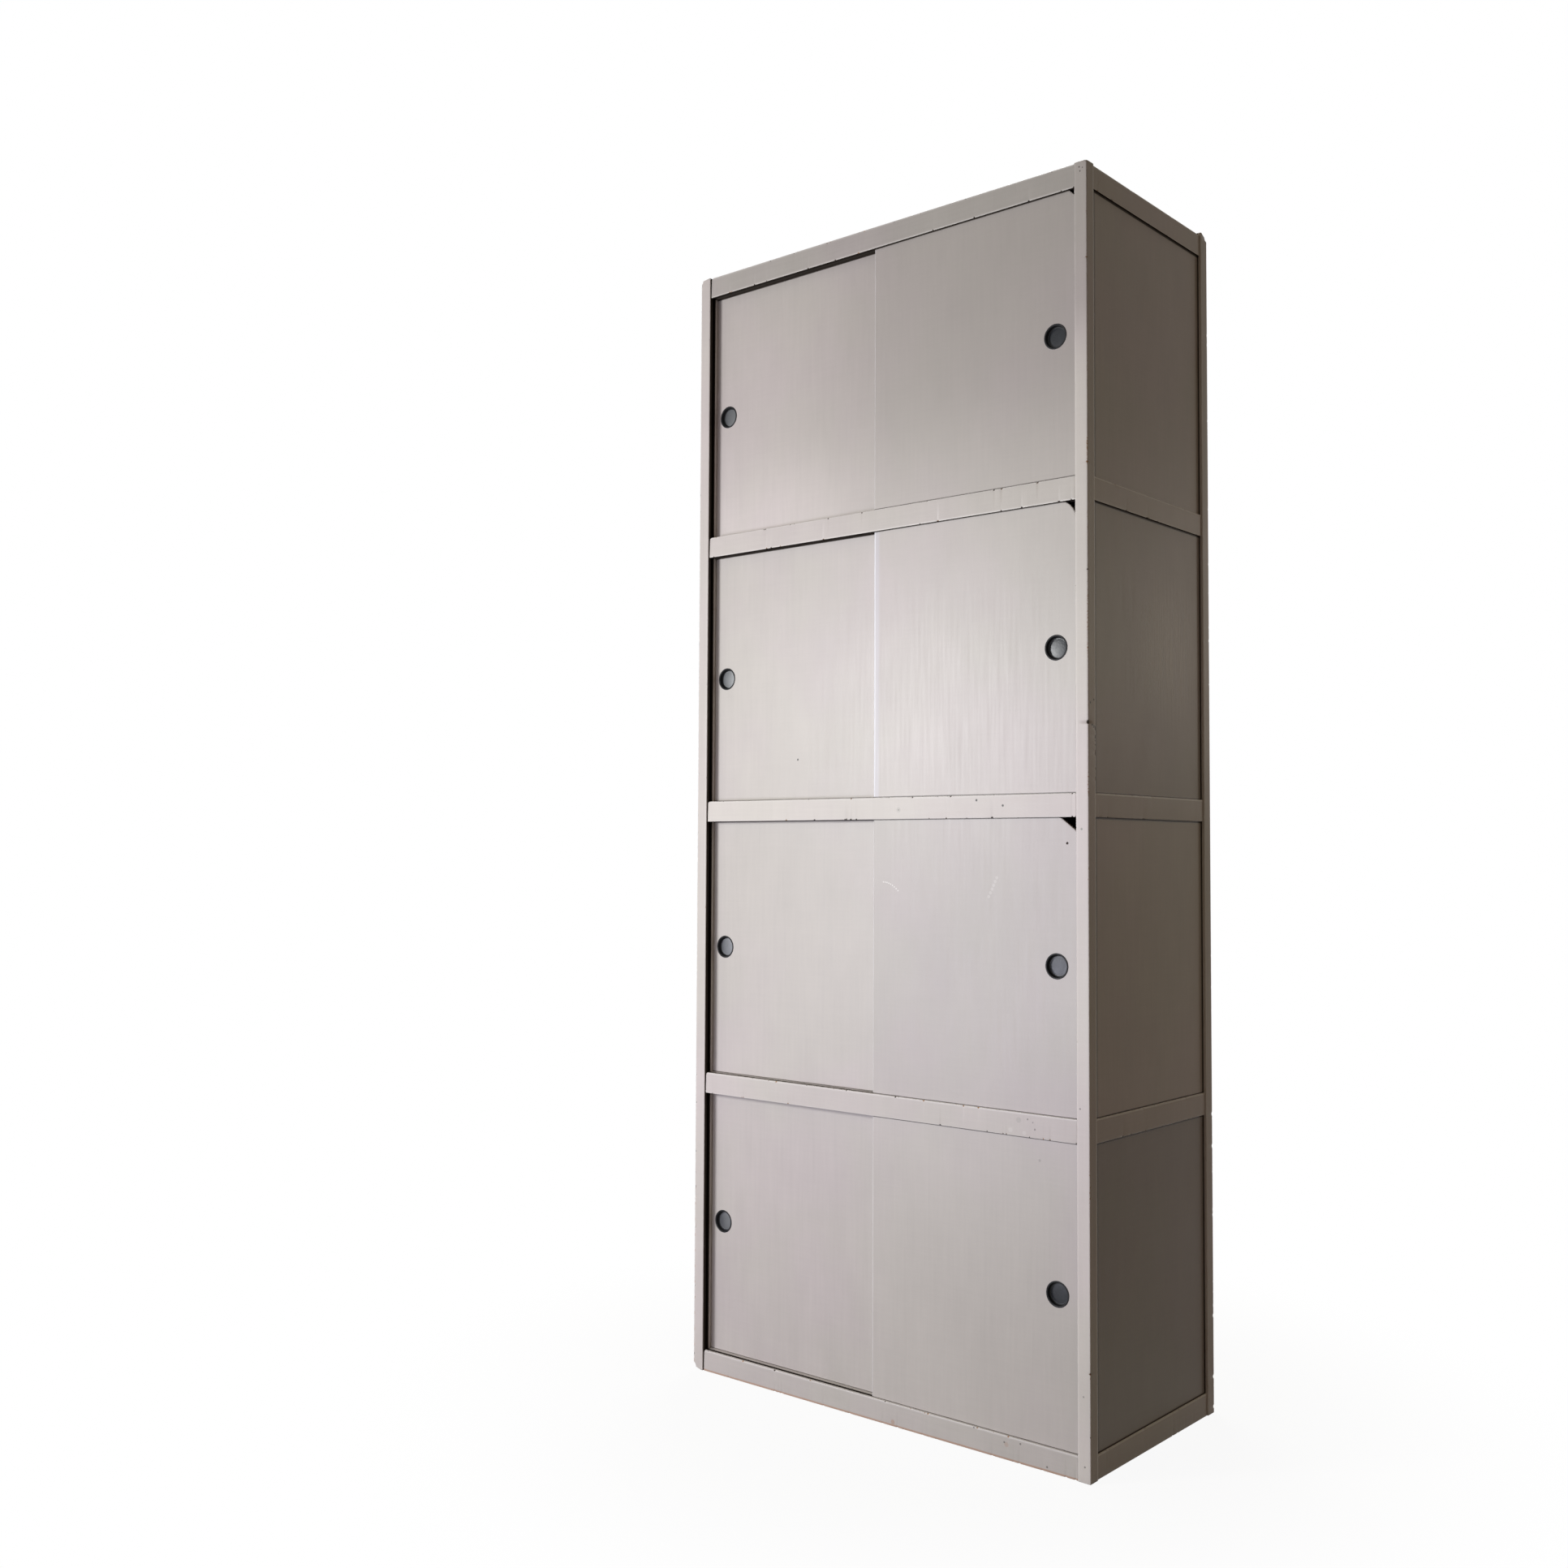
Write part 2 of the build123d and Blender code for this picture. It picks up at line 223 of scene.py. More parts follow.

# Strength and reach of the painted shade where pieces meet, and reach of other bands along edges: painted
# highlights and rust
JOINT_SHADE_STRENGTH = 0.85
DOOR_HEAD_SHADE_BAND = {"bottom": 2.8 * MM, "lower": 2.0 * MM, "upper": 1.5 * MM, "top": 1.3 * MM}
DOOR_FOOT_SHADE_BAND = {"bottom": 1.3 * MM, "lower": 1.6 * MM, "upper": 2.4 * MM, "top": 3.2 * MM}
PANEL_HEAD_SHADE_BAND = {"bottom": 4.2 * MM, "lower": 3.6 * MM, "upper": 3.4 * MM, "top": 3.4 * MM}
PANEL_FOOT_SHADE_BAND = 2.0 * MM
PANEL_SIDE_SHADE_BAND = 3.2 * MM
PANEL_NEAR_POST_SHADE_BAND = 17.0 * MM
SEAM_HIGHLIGHT = 3.0 * MM
FREE_EDGE_HIGHLIGHT = 1.6 * MM
BRIGHT_EDGE_HIGHLIGHT = 4.0 * MM
EDGE_SHEEN_BAND = 14.0 * MM
RUST_FOOT = 4.0 * MM

# Painted sheen: a paler patch on the right side panel of the upper tier, a painted reflection
SHEEN_HEIGHT = 1.270
SHEEN_DEPTH = 0.074
SHEEN_RADIUS = 0.150
SHEEN_STRENGTH = 0.60


def new_node(tree, kind, **values):
    """A shader node of a kind, with some of its sockets and properties set."""
    made = tree.nodes.new(f"ShaderNode{kind}")
    for key, value in values.items():
        if key in made.inputs:
            made.inputs[key].default_value = value
        else:
            setattr(made, key, value)
    return made


def new_object(name, data):
    """An object in the scene that shows a mesh, a light or a camera."""
    made = bpy.data.objects.new(name, data)
    bpy.context.scene.collection.objects.link(made)
    return made


class Shader:
    """A material's node tree with short calls for the nodes used here."""

    def __init__(self, name):
        self.material = bpy.data.materials.new(name)
        self.material.use_nodes = True
        self.tree = self.material.node_tree
        self.surface = self.tree.nodes["Principled BSDF"]
        self.place = self.node("TexCoord").outputs["Object"]

    def node(self, kind, **values):
        return new_node(self.tree, kind, **values)

    def join(self, source, target):
        if isinstance(source, bpy.types.NodeSocket):
            self.tree.links.new(source, target)
        else:
            target.default_value = source

    def noise(self, scale, stretch=(1, 1, 1), detail=3.0, shift=(0, 0, 0), roughness=0.55):
        """Noise from 0 to 1, about 1 / scale metres across, drawn out by a stretch along each axis."""
        mapping = self.node("Mapping", Scale=[1 / s for s in stretch], Location=shift)
        self.join(self.place, mapping.inputs["Vector"])
        made = self.node("TexNoise", Scale=scale, Detail=detail, Roughness=roughness)
        self.join(mapping.outputs[0], made.inputs["Vector"])
        return made.outputs["Fac"]

    def maths(self, operation, a, b=0.0, c=0.0):
        made = self.node("Math", operation=operation)
        for value, socket in zip((a, b, c), made.inputs):
            self.join(value, socket)
        return made.outputs[0]

    def add(self, base, value, gain):
        """A noise value swung about its middle, added to a base."""
        return self.maths("MULTIPLY_ADD", self.maths("SUBTRACT", value, 0.5), gain, base)

    def band(self, value, low, high, to_low=0.0, to_high=1.0):
        """Smooth step of a value between two thresholds."""
        made = self.node("MapRange", interpolation_type="SMOOTHSTEP")
        keys = ("Value", "From Min", "From Max", "To Min", "To Max")
        for key, number in zip(keys, (value, low, high, to_low, to_high)):
            self.join(number, made.inputs[key])
        return made.outputs[0]

    def blend(self, factor, a, b, mode="MIX"):
        made = self.node("Mix", data_type="RGBA", blend_type=mode)
        self.join(factor, made.inputs[0])
        for value, socket in ((a, made.inputs[6]), (b, made.inputs[7])):
            self.join((*value, 1.0) if isinstance(value, tuple) else value, socket)
        return made.outputs[2]

    def grey(self, value):
        """A number as a grey colour."""
        made = self.node("CombineColor")
        for socket in made.inputs:
            self.join(value, socket)
        return made.outputs[0]

    def bump(self, height, distance):
        made = self.node("Bump", Distance=distance)
        self.join(height, made.inputs["Height"])
        return made.outputs[0]

    def attribute(self, name):
        return self.node("Attribute", attribute_name=name).outputs["Fac"]

    def near(self, mark):
        """1 in the middle of a mark, falling to 0 at its radius."""
        made = self.node("VectorMath", operation="DISTANCE")
        self.join(self.place, made.inputs[0])
        made.inputs[1].default_value = (mark.x, mark.y, mark.z)
        return self.band(made.outputs["Value"], 0.0, mark.radius, 1.0, 0.0)

    def finish(self, colour, roughness, normal, specular):
        self.join(colour, self.surface.inputs["Base Color"])
        self.join(roughness, self.surface.inputs["Roughness"])
        self.join(normal, self.surface.inputs["Normal"])
        self.surface.inputs["Specular IOR Level"].default_value = specular
        return self.material


def scaled(colour, factor):
    return tuple(channel * factor for channel in colour)


def tinted(colour, shares):
    return tuple(channel * share for channel, share in zip(colour, shares))


def drawn_out(along, length, width):
    """A stretch for noise that is drawn out along one axis."""
    return [length if axis == along else width for axis in "XYZ"]


def mottled(shader, colour, streaks, cross):
    """Paint's colour with its brush strokes, clouds, blotches and two faint tints."""
    clouds = shader.noise(scale=4.0, detail=2.0, shift=(7, 2, 5))
    blotches = shader.noise(scale=16.0, stretch=(0.7, 0.7, 1.6), shift=(2, 9, 4))
    tint = shader.noise(scale=3.0, shift=(1, 8, 3))
    light = 1.0
    for value, gain in ((streaks, 0.10), (cross, 0.05), (clouds, 0.12), (blotches, 0.12)):
        light = shader.add(light, value, gain)
    share = shader.band(tint, low=0.35, high=0.65)
    base = shader.blend(share, tinted(colour, GREENISH), tinted(colour, ROSY))
    return shader.blend(1.0, base, shader.grey(light), "MULTIPLY")


def worn_through(shader, base, grit, patch, paleness):
    """Paint that is paler along arrises, as worn paint and as painted highlight, rubbed through there and
    chipped at knocks. The colour and the share that is bare are returned."""
    edge = shader.attribute("edge")
    worn = shader.attribute("worn")
    rub = shader.maths("MULTIPLY", edge, shader.maths("MULTIPLY_ADD", patch, 0.9, grit))
    rub = shader.band(rub, low=1.12, high=1.20)
    chip = shader.band(shader.add(worn, grit, gain=1.2), low=0.42, high=0.50)
    bare = shader.maths("MAXIMUM", rub, chip)
    base = shader.blend(shader.maths("MULTIPLY", edge, paleness), base, PALE_WEAR_AND_HIGHLIGHT)
    under = shader.blend(shader.band(patch, low=0.52, high=0.60), UNDERCOAT_AND_SHADE, BARE_WOOD)
    return shader.blend(bare, base, under), bare


def marked(shader, base, grit, marks):
    """Paint with ragged spots."""
    for mark in marks:
        spot = shader.add(shader.near(mark), grit, gain=0.5)
        share = shader.band(spot, low=0.30, high=0.60, to_high=mark.strength)
        base = shader.blend(share, base, mark.colour)
    return base


def sheened(shader, base, streaks, sheens):
    """Paint with painted sheen: soft paler patches that follow its brush strokes."""
    for sheen in sheens:
        share = shader.band(streaks, low=0.35, high=0.65, to_high=sheen.strength)
        share = shader.maths("MULTIPLY", shader.near(sheen), share)
        base = shader.blend(share, base, sheen.colour)
    return base


def lined(shader, base, patch, lines):
    """Paint with bands that wander a little."""
    split = shader.node("SeparateXYZ")
    shader.join(shader.place, split.inputs[0])
    for line in lines:
        off = shader.maths("ABSOLUTE", shader.maths("SUBTRACT", split.outputs[line.axis], line.level))
        off = shader.add(off, patch, gain=1.2 * MM)
        share = shader.band(off, 0.55 * line.reach, line.reach, to_low=line.strength, to_high=0.0)
        base = shader.blend(share, base, line.colour)
    return base


def paint_material(name, colour, along, specular, marks=(), lines=(), sheens=(), paleness=0.35):
    """Satin paint laid on with a brush along one axis, paler at arrises as worn paint and painted
    highlight and worn through there, spotted with marks, given painted sheen and crossed by lines, among
    them painted shade and painted highlights."""
    shader = Shader(name)
    lengthwise = drawn_out(along, STROKE_LENGTH, STROKE_WIDTH)
    crosswise = drawn_out(along, CROSS_STROKE_WIDTH, CROSS_STROKE_LENGTH)
    streaks = shader.noise(scale=3.0, stretch=lengthwise, detail=5.0)
    cross = shader.noise(scale=3.0, stretch=crosswise, shift=(3, 1, 2))
    grit = shader.noise(scale=420.0, detail=4.0, shift=(2, 6, 1), roughness=0.7)
    patch = shader.noise(scale=14.0, detail=2.0, shift=(5, 5, 1))
    base = mottled(shader, colour, streaks, cross)
    base, bare = worn_through(shader, base, grit, patch, paleness)
    base = marked(shader, base, grit, marks)
    base = sheened(shader, base, streaks, sheens)
    base = lined(shader, base, patch, lines)
    roughness = shader.add(0.42, streaks, gain=0.16)
    roughness = shader.maths("MULTIPLY_ADD", bare, 0.25, roughness)
    relief = streaks
    for value, height in ((cross, 0.25), (grit, 0.06), (bare, -1.5)):
        relief = shader.maths("MULTIPLY_ADD", value, height, relief)
    return shader.finish(base, roughness, shader.bump(relief, distance=0.045 * MM), specular)


def track_and_shade_material():
    """Near-black bare timber inside the grooves and tracks; under the rails and on the front posts' inner
    faces it is painted shade.
    """
    shader = Shader("track_wood_and_shade")
    grain = shader.noise(scale=9.0, stretch=(0.5, 0.02, 0.02), detail=5.0)
    colour = shader.blend(grain, TRACK_WOOD_AND_SHADE, scaled(TRACK_WOOD_AND_SHADE, 1.9))
    relief = shader.bump(grain, distance=0.15 * MM)
    return shader.finish(colour, shader.add(0.75, grain, 0.2), relief, specular=0.0)


def timber_material(name, colour):
    """Bare timber with its grain along X."""
    shader = Shader(name)
    stretch = drawn_out("X", length=0.6, width=0.02)
    grain = shader.noise(scale=6.0, stretch=stretch, detail=6.0)
    pores = shader.noise(scale=40.0, stretch=stretch, detail=2.0)
    shade = shader.blend(grain, colour, scaled(colour, 0.6))
    shade = shader.blend(shader.band(pores, 0.6, 0.75), shade, scaled(colour, 0.4))
    relief = shader.bump(grain, distance=0.2 * MM)
    return shader.finish(shade, shader.add(0.62, grain, 0.2), relief, specular=0.3)


def cup_material(name, colour, roughness, specular):
    shader = Shader(name)
    mottle = shader.noise(scale=260.0)
    dust = shader.noise(scale=90.0, detail=2.0, shift=(4, 4, 4))
    shade = shader.blend(mottle, scaled(colour, 0.8), scaled(colour, 1.3))
    relief = shader.bump(mottle, distance=0.08 * MM)
    return shader.finish(shade, shader.add(roughness, dust, 0.25), relief, specular)


# A spot in the paint, at full strength unless it is given one
Mark = namedtuple("Mark", "x y z radius colour strength", defaults=[1.0])

# A band of colour to either side of a plane across one axis
Line = namedtuple("Line", "axis level reach colour strength")


class Corner:
    """A corner of a bar's section: its place, its rounding, the surface of the side after it, how
    far it moves where the bar has a cut-out, and how worn it is."""

    def __init__(self, a, b, radius=0.0, surface=0, cut=(0.0, 0.0), wear=0.8):
        self.place = Vector((a, b))
        self.radius = radius
        self.surface = surface
        self.cut = Vector(cut)
        self.wear = wear


def section_ring(corners):
    """Points round a section as (place, arris weight, surface, cut), with rounded corners."""
    ring = []
    for index, corner in enumerate(corners):
        back = corners[index - 1].place - corner.place
        ahead = corners[(index + 1) % len(corners)].place - corner.place
        if corner.radius == 0.0:
            ring.append((corner.place, 0.0, corner.surface, corner.cut))
            continue
        reach = corner.radius + FEATHER
        to_back, to_ahead = back.normalized(), ahead.normalized()
        if back.length > 2 * reach:
            ring.append((corner.place + to_back * reach, 0.0, corners[index - 1].surface, corner.cut))
        middle = corner.place + (to_back + to_ahead) * corner.radius
        for step in range(ROUNDING_STEPS + 1):
            turn = math.radians(90 * step / ROUNDING_STEPS)
            arm = to_ahead * math.cos(turn) + to_back * math.sin(turn)
            ring.append((middle - arm * corner.radius, corner.wear, 0, corner.cut))
        ring[-1] = (*ring[-1][:2], corner.surface, corner.cut)
        if ahead.length > 2 * reach:
            ring.append((corner.place + to_ahead * reach, 0.0, corner.surface, corner.cut))
    return ring


def placed_ring(ring, cut, inset):
    """Section points where the bar is cut out by a share and drawn in by an inset."""
    places = [place + shift * cut for place, _, _, shift in ring]
    drawn = []
    for index, place in enumerate(places):
        run = places[(index + 1) % len(places)] - places[index - 1]
        outward = Vector((run.y, -run.x)).normalized() if run.length > 0 else Vector((0, 0))
        drawn.append(place - outward * inset)
    return drawn


class Knock:
    """A dent or chip: where it is, the way it goes in, its radius, its depth and how bare it is."""

    def __init__(self, place, inward, radius, depth, bare=1.0):
        self.place = Vector(place)
        self.inward = Vector(inward).normalized()
        self.radius = radius
        self.depth = depth
        self.bare = bare


def stations_along(low, high, rounding, knocks, cuts):
    """Where a bar's sections stand, as (distance, inset, cut share)."""
    count = max(2, round((high - low) / STATION_STEP))
    steps = {low + (high - low) * k / count for k in range(count + 1)}
    for share in (0.1, 0.3, 0.6, 1.0):
        steps |= {low + rounding * share, high - rounding * share}
    for middle, radius in knocks:
        steps |= {middle + radius * k / 3 for k in range(-3, 4)}
    for start, stop in cuts:
        steps |= {start - CUT_STEP, start + CUT_STEP, stop - CUT_STEP, stop + CUT_STEP}
    made = []
    for step in sorted(steps):
        if step < low or step > high or (made and step - made[-1][0] < CUT_STEP):
            continue
        reach = rounding - min(step - low, high - step, rounding)
        inset = rounding - math.sqrt(max(rounding ** 2 - reach ** 2, 0.0))
        cut = float(any(start < step < stop for start, stop in cuts))
        made.append((step, inset, cut))
    return made


def press_knocks(mesh, knocks, worn):
    for knock in knocks:
        for vertex in mesh.verts:
            near = 1.0 - (vertex.co - knock.place).length / knock.radius
            if near > 0.0:
                vertex[worn] = max(vertex[worn], knock.bare * min(1.0, 2.0 * near))
    moves = []
    for vertex in mesh.verts:
        move = Vector((0, 0, 0))
        for knock in knocks:
            near = 1.0 - (vertex.co - knock.place).length_squared / knock.radius ** 2
            if near > 0.0:
                move += knock.inward * knock.depth * near
        moves.append(move)
    for vertex, move in zip(mesh.verts, moves):
        vertex.co += move


def new_piece(mesh, name, node, materials):
    """Make a mesh a piece of the scene that stands for a node and takes its finish."""
    bmesh.ops.remove_doubles(mesh, verts=mesh.verts, dist=MERGE_DISTANCE)
    bmesh.ops.recalc_face_normals(mesh, faces=mesh.faces)
    data = bpy.data.meshes.new(name)
    mesh.to_mesh(data)
    mesh.free()
    for material in materials:
        data.materials.append(material)
    data.shade_smooth()
    data.set_sharp_from_angle(angle=SHARP_ANGLE)
    piece = new_object(name, data)
    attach(piece, BODY_OF[node])
    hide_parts(node)


def bar(node, corners, axis, span, to_world, materials, rounding, knocks, cuts=()):
    """A post or rail: its section carried along an axis, with rounded ends and knocks pressed in."""
    ring = section_ring(corners)
    along = "XYZ".index(axis)
    knock_spans = [(knock.place[along], knock.radius) for knock in knocks]
    mesh = bmesh.new()
    edge = mesh.verts.layers.float.new("edge")
    worn = mesh.verts.layers.float.new("worn")
    rows = []
    for step, inset, cut in stations_along(*span, rounding, knock_spans, cuts):
        row = []
        for (_, weight, _, _), place in zip(ring, placed_ring(ring, cut, inset)):
            vertex = mesh.verts.new(to_world(place.x, place.y, step))
            vertex[edge] = 1.0 if inset > 0.3 * MM else weight
            row.append(vertex)
        rows.append(row)
    count = len(ring)
    for row, after in zip(rows, rows[1:]):
        for k in range(count):
            following = (k + 1) % count
            face = mesh.faces.new((row[k], row[following], after[following], after[k]))
            face.material_index = ring[k][2]
    mesh.faces.new(rows[0])
    mesh.faces.new(rows[-1])
    press_knocks(mesh, knocks, worn)
    new_piece(mesh, f"worn_{node}", node, materials)


def arris_knocks(seed, start, stop, inward, count, radii, bare=1.0):
    """Small knocks scattered along one arris."""
    draw = random.Random(seed)
    start, stop = Vector(start), Vector(stop)
    made = []
    for _ in range(count):
        radius = draw.uniform(*radii)
        place = start.lerp(stop, draw.random())
        depth = radius * draw.uniform(0.15, 0.4)
        made.append(Knock(place, inward, radius, depth, bare))
    return made


def tier_spans():
    """Heights of the open tiers between the rails, from the floor up."""
    rails = [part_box(f"front_rail_{level}") for level in LEVELS]
    return [(below[1].z, above[0].z) for below, above in zip(rails, rails[1:])]


def post_damage(node, low, high):
    """Rounded ends and larger chips of single posts."""
    if node == "post_front_left":
        foot, head = (low.x, low.y, low.z), (low.x, low.y, high.z)
        return [
            Knock(foot, (1.0, 0.3, 0.6), radius=12 * MM, depth=5.0 * MM, bare=0.0),
            Knock(head, (1.0, 0.3, -0.6), radius=9 * MM, depth=3.0 * MM, bare=0.0),
        ]
    if node == "post_rear_right":
        head = (high.x, high.y, high.z)
        return [Knock(head, (-0.5, -1.0, -0.8), radius=12 * MM, depth=5.0 * MM, bare=0.0)]
    if node == "post_front_right":
        chips = [
            Knock((high.x, low.y, 1.131), (-1, 1, 0), radius=4.0 * MM, depth=1.5 * MM),
            Knock((high.x, low.y, high.z), (-1, 1, -0.5), radius=5.0 * MM, depth=1.2 * MM, bare=0.0),
        ]
        start, stop = [(high.x, high.y, height) for height in NEAR_POST_CHIP_SPAN]
        return chips + arris_knocks("near post", start, stop, (-1, -1, 0), **NEAR_POST_CHIPS)
    return []


def post_knocks(side, end, inner_x, outer_x, outer_y):
    """Knocks along the two arrises of a post's front or back, and its larger damage."""
    node = f"post_{end}_{side}"
    sx, sy = SIDES[side], ENDS[end]
    low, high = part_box(node)
    seed = f"{side} {end}"
    foot, head = (outer_x, outer_y, low.z), (outer_x, outer_y, high.z)
    inward = (-sx, -sy, 0)
    near = node == "post_front_right"
    knocks = arris_knocks(seed, foot, head, inward, **(NEAR_POST_KNOCKS if near else POST_KNOCKS))
    if not near:
        top = (outer_x, outer_y, POST_FOOT_KNOCK_TOP)
        knocks += arris_knocks(seed + " low", foot, top, inward, **POST_FOOT_KNOCKS)
    foot, head = (inner_x, outer_y, low.z), (inner_x, outer_y, high.z)
    knocks += arris_knocks(seed + " inner", foot, head, (sx, -sy, 0), **POST_INNER_KNOCKS)
    return knocks + post_damage(node, low, high)


def make_post(side, end, materials):
    """A post with its panel grooves. A front post also has a door groove, and the front of its inner face
    is painted shade in the dark track timber.
    """
    node = f"post_{end}_{side}"
    sx, sy = SIDES[side], ENDS[end]
    low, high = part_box(node)
    size_x, size_y = high.x - low.x, high.y - low.y
    inner_x = low.x if sx > 0 else high.x
    inner_y = low.y if sy > 0 else high.y

    def to_world(u, v, z):
        return inner_x + sx * u, inner_y + sy * v, z

    groove = (size_x - PANEL_GROOVE[1], size_x - PANEL_GROOVE[0])
    depth = PANEL_GROOVE_DEPTH
    inside, track, track_depth, rise = 0, groove, depth, depth
    if end == "front":
        inside = 1
        track = (size_y - POST_DOOR_GROOVE[1], size_y - POST_DOOR_GROOVE[0])
        track_depth = POST_DOOR_GROOVE_DEPTH
        rise = GROOVE_RISE_UNDER
    corners = [
        Corner(0, 0, RAIL_ARRIS),
        Corner(groove[0], 0, surface=1),
        Corner(groove[0], 0, surface=1, cut=(0, depth)),
        Corner(groove[1], 0, surface=1, cut=(0, depth)),
        Corner(groove[1], 0),
        Corner(size_x, 0, RAIL_ARRIS, surface=2),
        Corner(size_x, size_y, POST_ARRIS, wear=1.0),
        # On a front post the inner face, from its front to just behind the door groove, is painted shade
        # in the dark track timber
        Corner(0, size_y, POST_ARRIS, surface=inside, wear=0.5),
        Corner(0, track[1], surface=1),
        Corner(0, track[1], surface=1, cut=(track_depth, 0)),
        Corner(0, track[0], surface=1, cut=(track_depth, 0)),
        Corner(0, track[0], surface=inside),
        Corner(0, track[0] - SHADE_BEHIND_TRACK),
    ]
    cuts = [(foot - GROOVE_RISE, head + rise) for foot, head in tier_spans()]
    outer_x, outer_y = inner_x + sx * size_x, inner_y + sy * size_y
    knocks = post_knocks(side, end, inner_x, outer_x, outer_y)
    bar(node, corners, "Z", (low.z, high.z), to_world, materials, POST_END_ARRIS, knocks, cuts)


def rail_corners(level, width, height, grooves, depth_under, depth_above, under):
    """Section of a rail from its inner face (0) to its outer face (width). The bottom rail has no
    grooves in its underside, and the top rail none in its top."""
    # The underside's lands take the surface given as under; surface 1, the dark track timber, is painted
    # shade there
    corners = [Corner(0, 0, surface=under)]
    if level != "bottom":
        for start, stop in grooves:
            for a, b in ((start, 0), (start, depth_under), (stop, depth_under)):
                corners.append(Corner(a, b, surface=1))
            corners.append(Corner(stop, 0, surface=under))
    corners.append(Corner(width, 0, UNDER_ARRIS, wear=0.8 if under else 1.0))
    corners.append(Corner(width, height, RAIL_ARRIS))
    if level != "top":
        for start, stop in reversed(grooves):
            floor = height - depth_above
            for a, b in ((stop, height), (stop, floor), (start, floor)):
                corners.append(Corner(a, b, surface=1))
            corners.append(Corner(start, height))
    return corners


def board_rebate(height):
    """Corners of the rebate that carries a board, at the top of a rail's inner face."""
    ledge = height - BOARD_THICKNESS
    return [Corner(BOARD_SEAT, height), Corner(BOARD_SEAT, ledge), Corner(0, ledge)]


def rail_knocks(seed, low, high, inward, at_foot, at_head):
    """Knocks along the lower and upper arris of a rail's outer face, between its two corners."""
    knocks = []
    for name, z, up, kind in (("foot", low[2], 1, at_foot), ("head", high[2], -1, at_head)):
        knocks += arris_knocks(f"{seed} {name}", (*low[:2], z), (*high[:2], z), (*inward, up), **kind)
    return knocks


def make_front_rail(level, materials):
    """A front rail with both door tracks. Its underside is painted shade in the dark track timber, apart
    from the bottom rail's.
    """
    node = f"front_rail_{level}"
    low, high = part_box(node)
    width, height = high.y - low.y, high.z - low.z

    def to_world(u, v, x):
        return x, high.y - u, low.z + v

    grooves = [(width - stop, width - start) for start, stop in reversed(DOOR_GROOVES)]
    under = 0 if level == "bottom" else 1
    corners = rail_corners(level, width, height, grooves, GROOVE_RISE_UNDER, GROOVE_RISE, under)
    corners += board_rebate(height)
    at_foot = FLOOR_RAIL_KNOCKS if level == "bottom" else FRONT_RAIL_KNOCKS
    knocks = rail_knocks(level, low, (high.x, low.y, high.z), (0, 1), at_foot, FRONT_RAIL_KNOCKS)
    start, stop = low.x + RAIL_GAP_LEFT, high.x - RAIL_GAP_RIGHT
    knocks.append(Knock((start, low.y, high.z), (1, 0.3, -1), radius=5.0 * MM, depth=1.6 * MM, bare=0.0))
    bar(node, corners, "X", (start, stop), to_world, materials, FRONT_RAIL_END_ARRIS, knocks)


def panel_groove(width):
    """The groove for a panel in a rail that is set back from its posts, as a list of one."""
    return [(width + RAIL_SETBACK - PANEL_GROOVE[1], width + RAIL_SETBACK - PANEL_GROOVE[0])]


def make_rear_rail(level, materials):
    node = f"rear_rail_{level}"
    low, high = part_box(node)
    width, height = high.y - low.y, high.z - low.z

    def to_world(u, v, x):
        return x, low.y + u, low.z + v

    depth = PANEL_GROOVE_DEPTH
    corners = rail_corners(level, width, height, panel_groove(width), depth, depth, under=0)
    corners += board_rebate(height)
    first = (low.x, high.y, low.z)
    knocks = rail_knocks(f"rear {level}", first, high, (0, -1), REAR_RAIL_KNOCKS, REAR_RAIL_KNOCKS)
    bar(node, corners, "X", (low.x, high.x), to_world, materials, REAR_RAIL_END_ARRIS, knocks)


def make_side_rail(side, level, materials):
    """A side rail, its underside painted shade in the dark track timber. At its front end a pocket in its
    inner face lets a door's edge pass.
    """
    node = f"side_rail_{side}_{level}"
    sx = SIDES[side]
    low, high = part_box(node)
    width, height = high.x - low.x, high.z - low.z
    inner = low.x if sx > 0 else high.x
    outer = high.x if sx > 0 else low.x

    def to_world(u, v, y):
        return inner + sx * u, y, low.z + v

    depth = PANEL_GROOVE_DEPTH
    corners = rail_corners(level, width, height, panel_groove(width), depth, depth, under=1)
    if level != "bottom":
        corners[0] = Corner(0, 0, surface=1, cut=(POCKET_DEPTH, GROOVE_RISE_UNDER))
        corners.insert(1, Corner(POCKET_DEPTH, 0, surface=1))
    rebate = board_rebate(height)
    if level != "top":
        corners.append(Corner(POCKET_DEPTH, height))
        corners.append(Corner(BOARD_SEAT, height, cut=(POCKET_DEPTH - BOARD_SEAT, -GROOVE_RISE)))
        rebate[0] = Corner(BOARD_SEAT, height - GROOVE_RISE)
    corners += rebate
    if level != "bottom":
        corners.append(Corner(0, GROOVE_RISE_UNDER))
    first, last = (outer, low.y, low.z), (outer, high.y, high.z)
    knocks = rail_knocks(f"{side} {level}", first, last, (-sx, 0), SIDE_RAIL_KNOCKS, SIDE_RAIL_KNOCKS)
    cuts = [(low.y - MM, low.y + POCKET_LENGTH)]
    bar(node, corners, "Y", (low.y, high.y), to_world, materials, SIDE_RAIL_END_ARRIS, knocks, cuts)


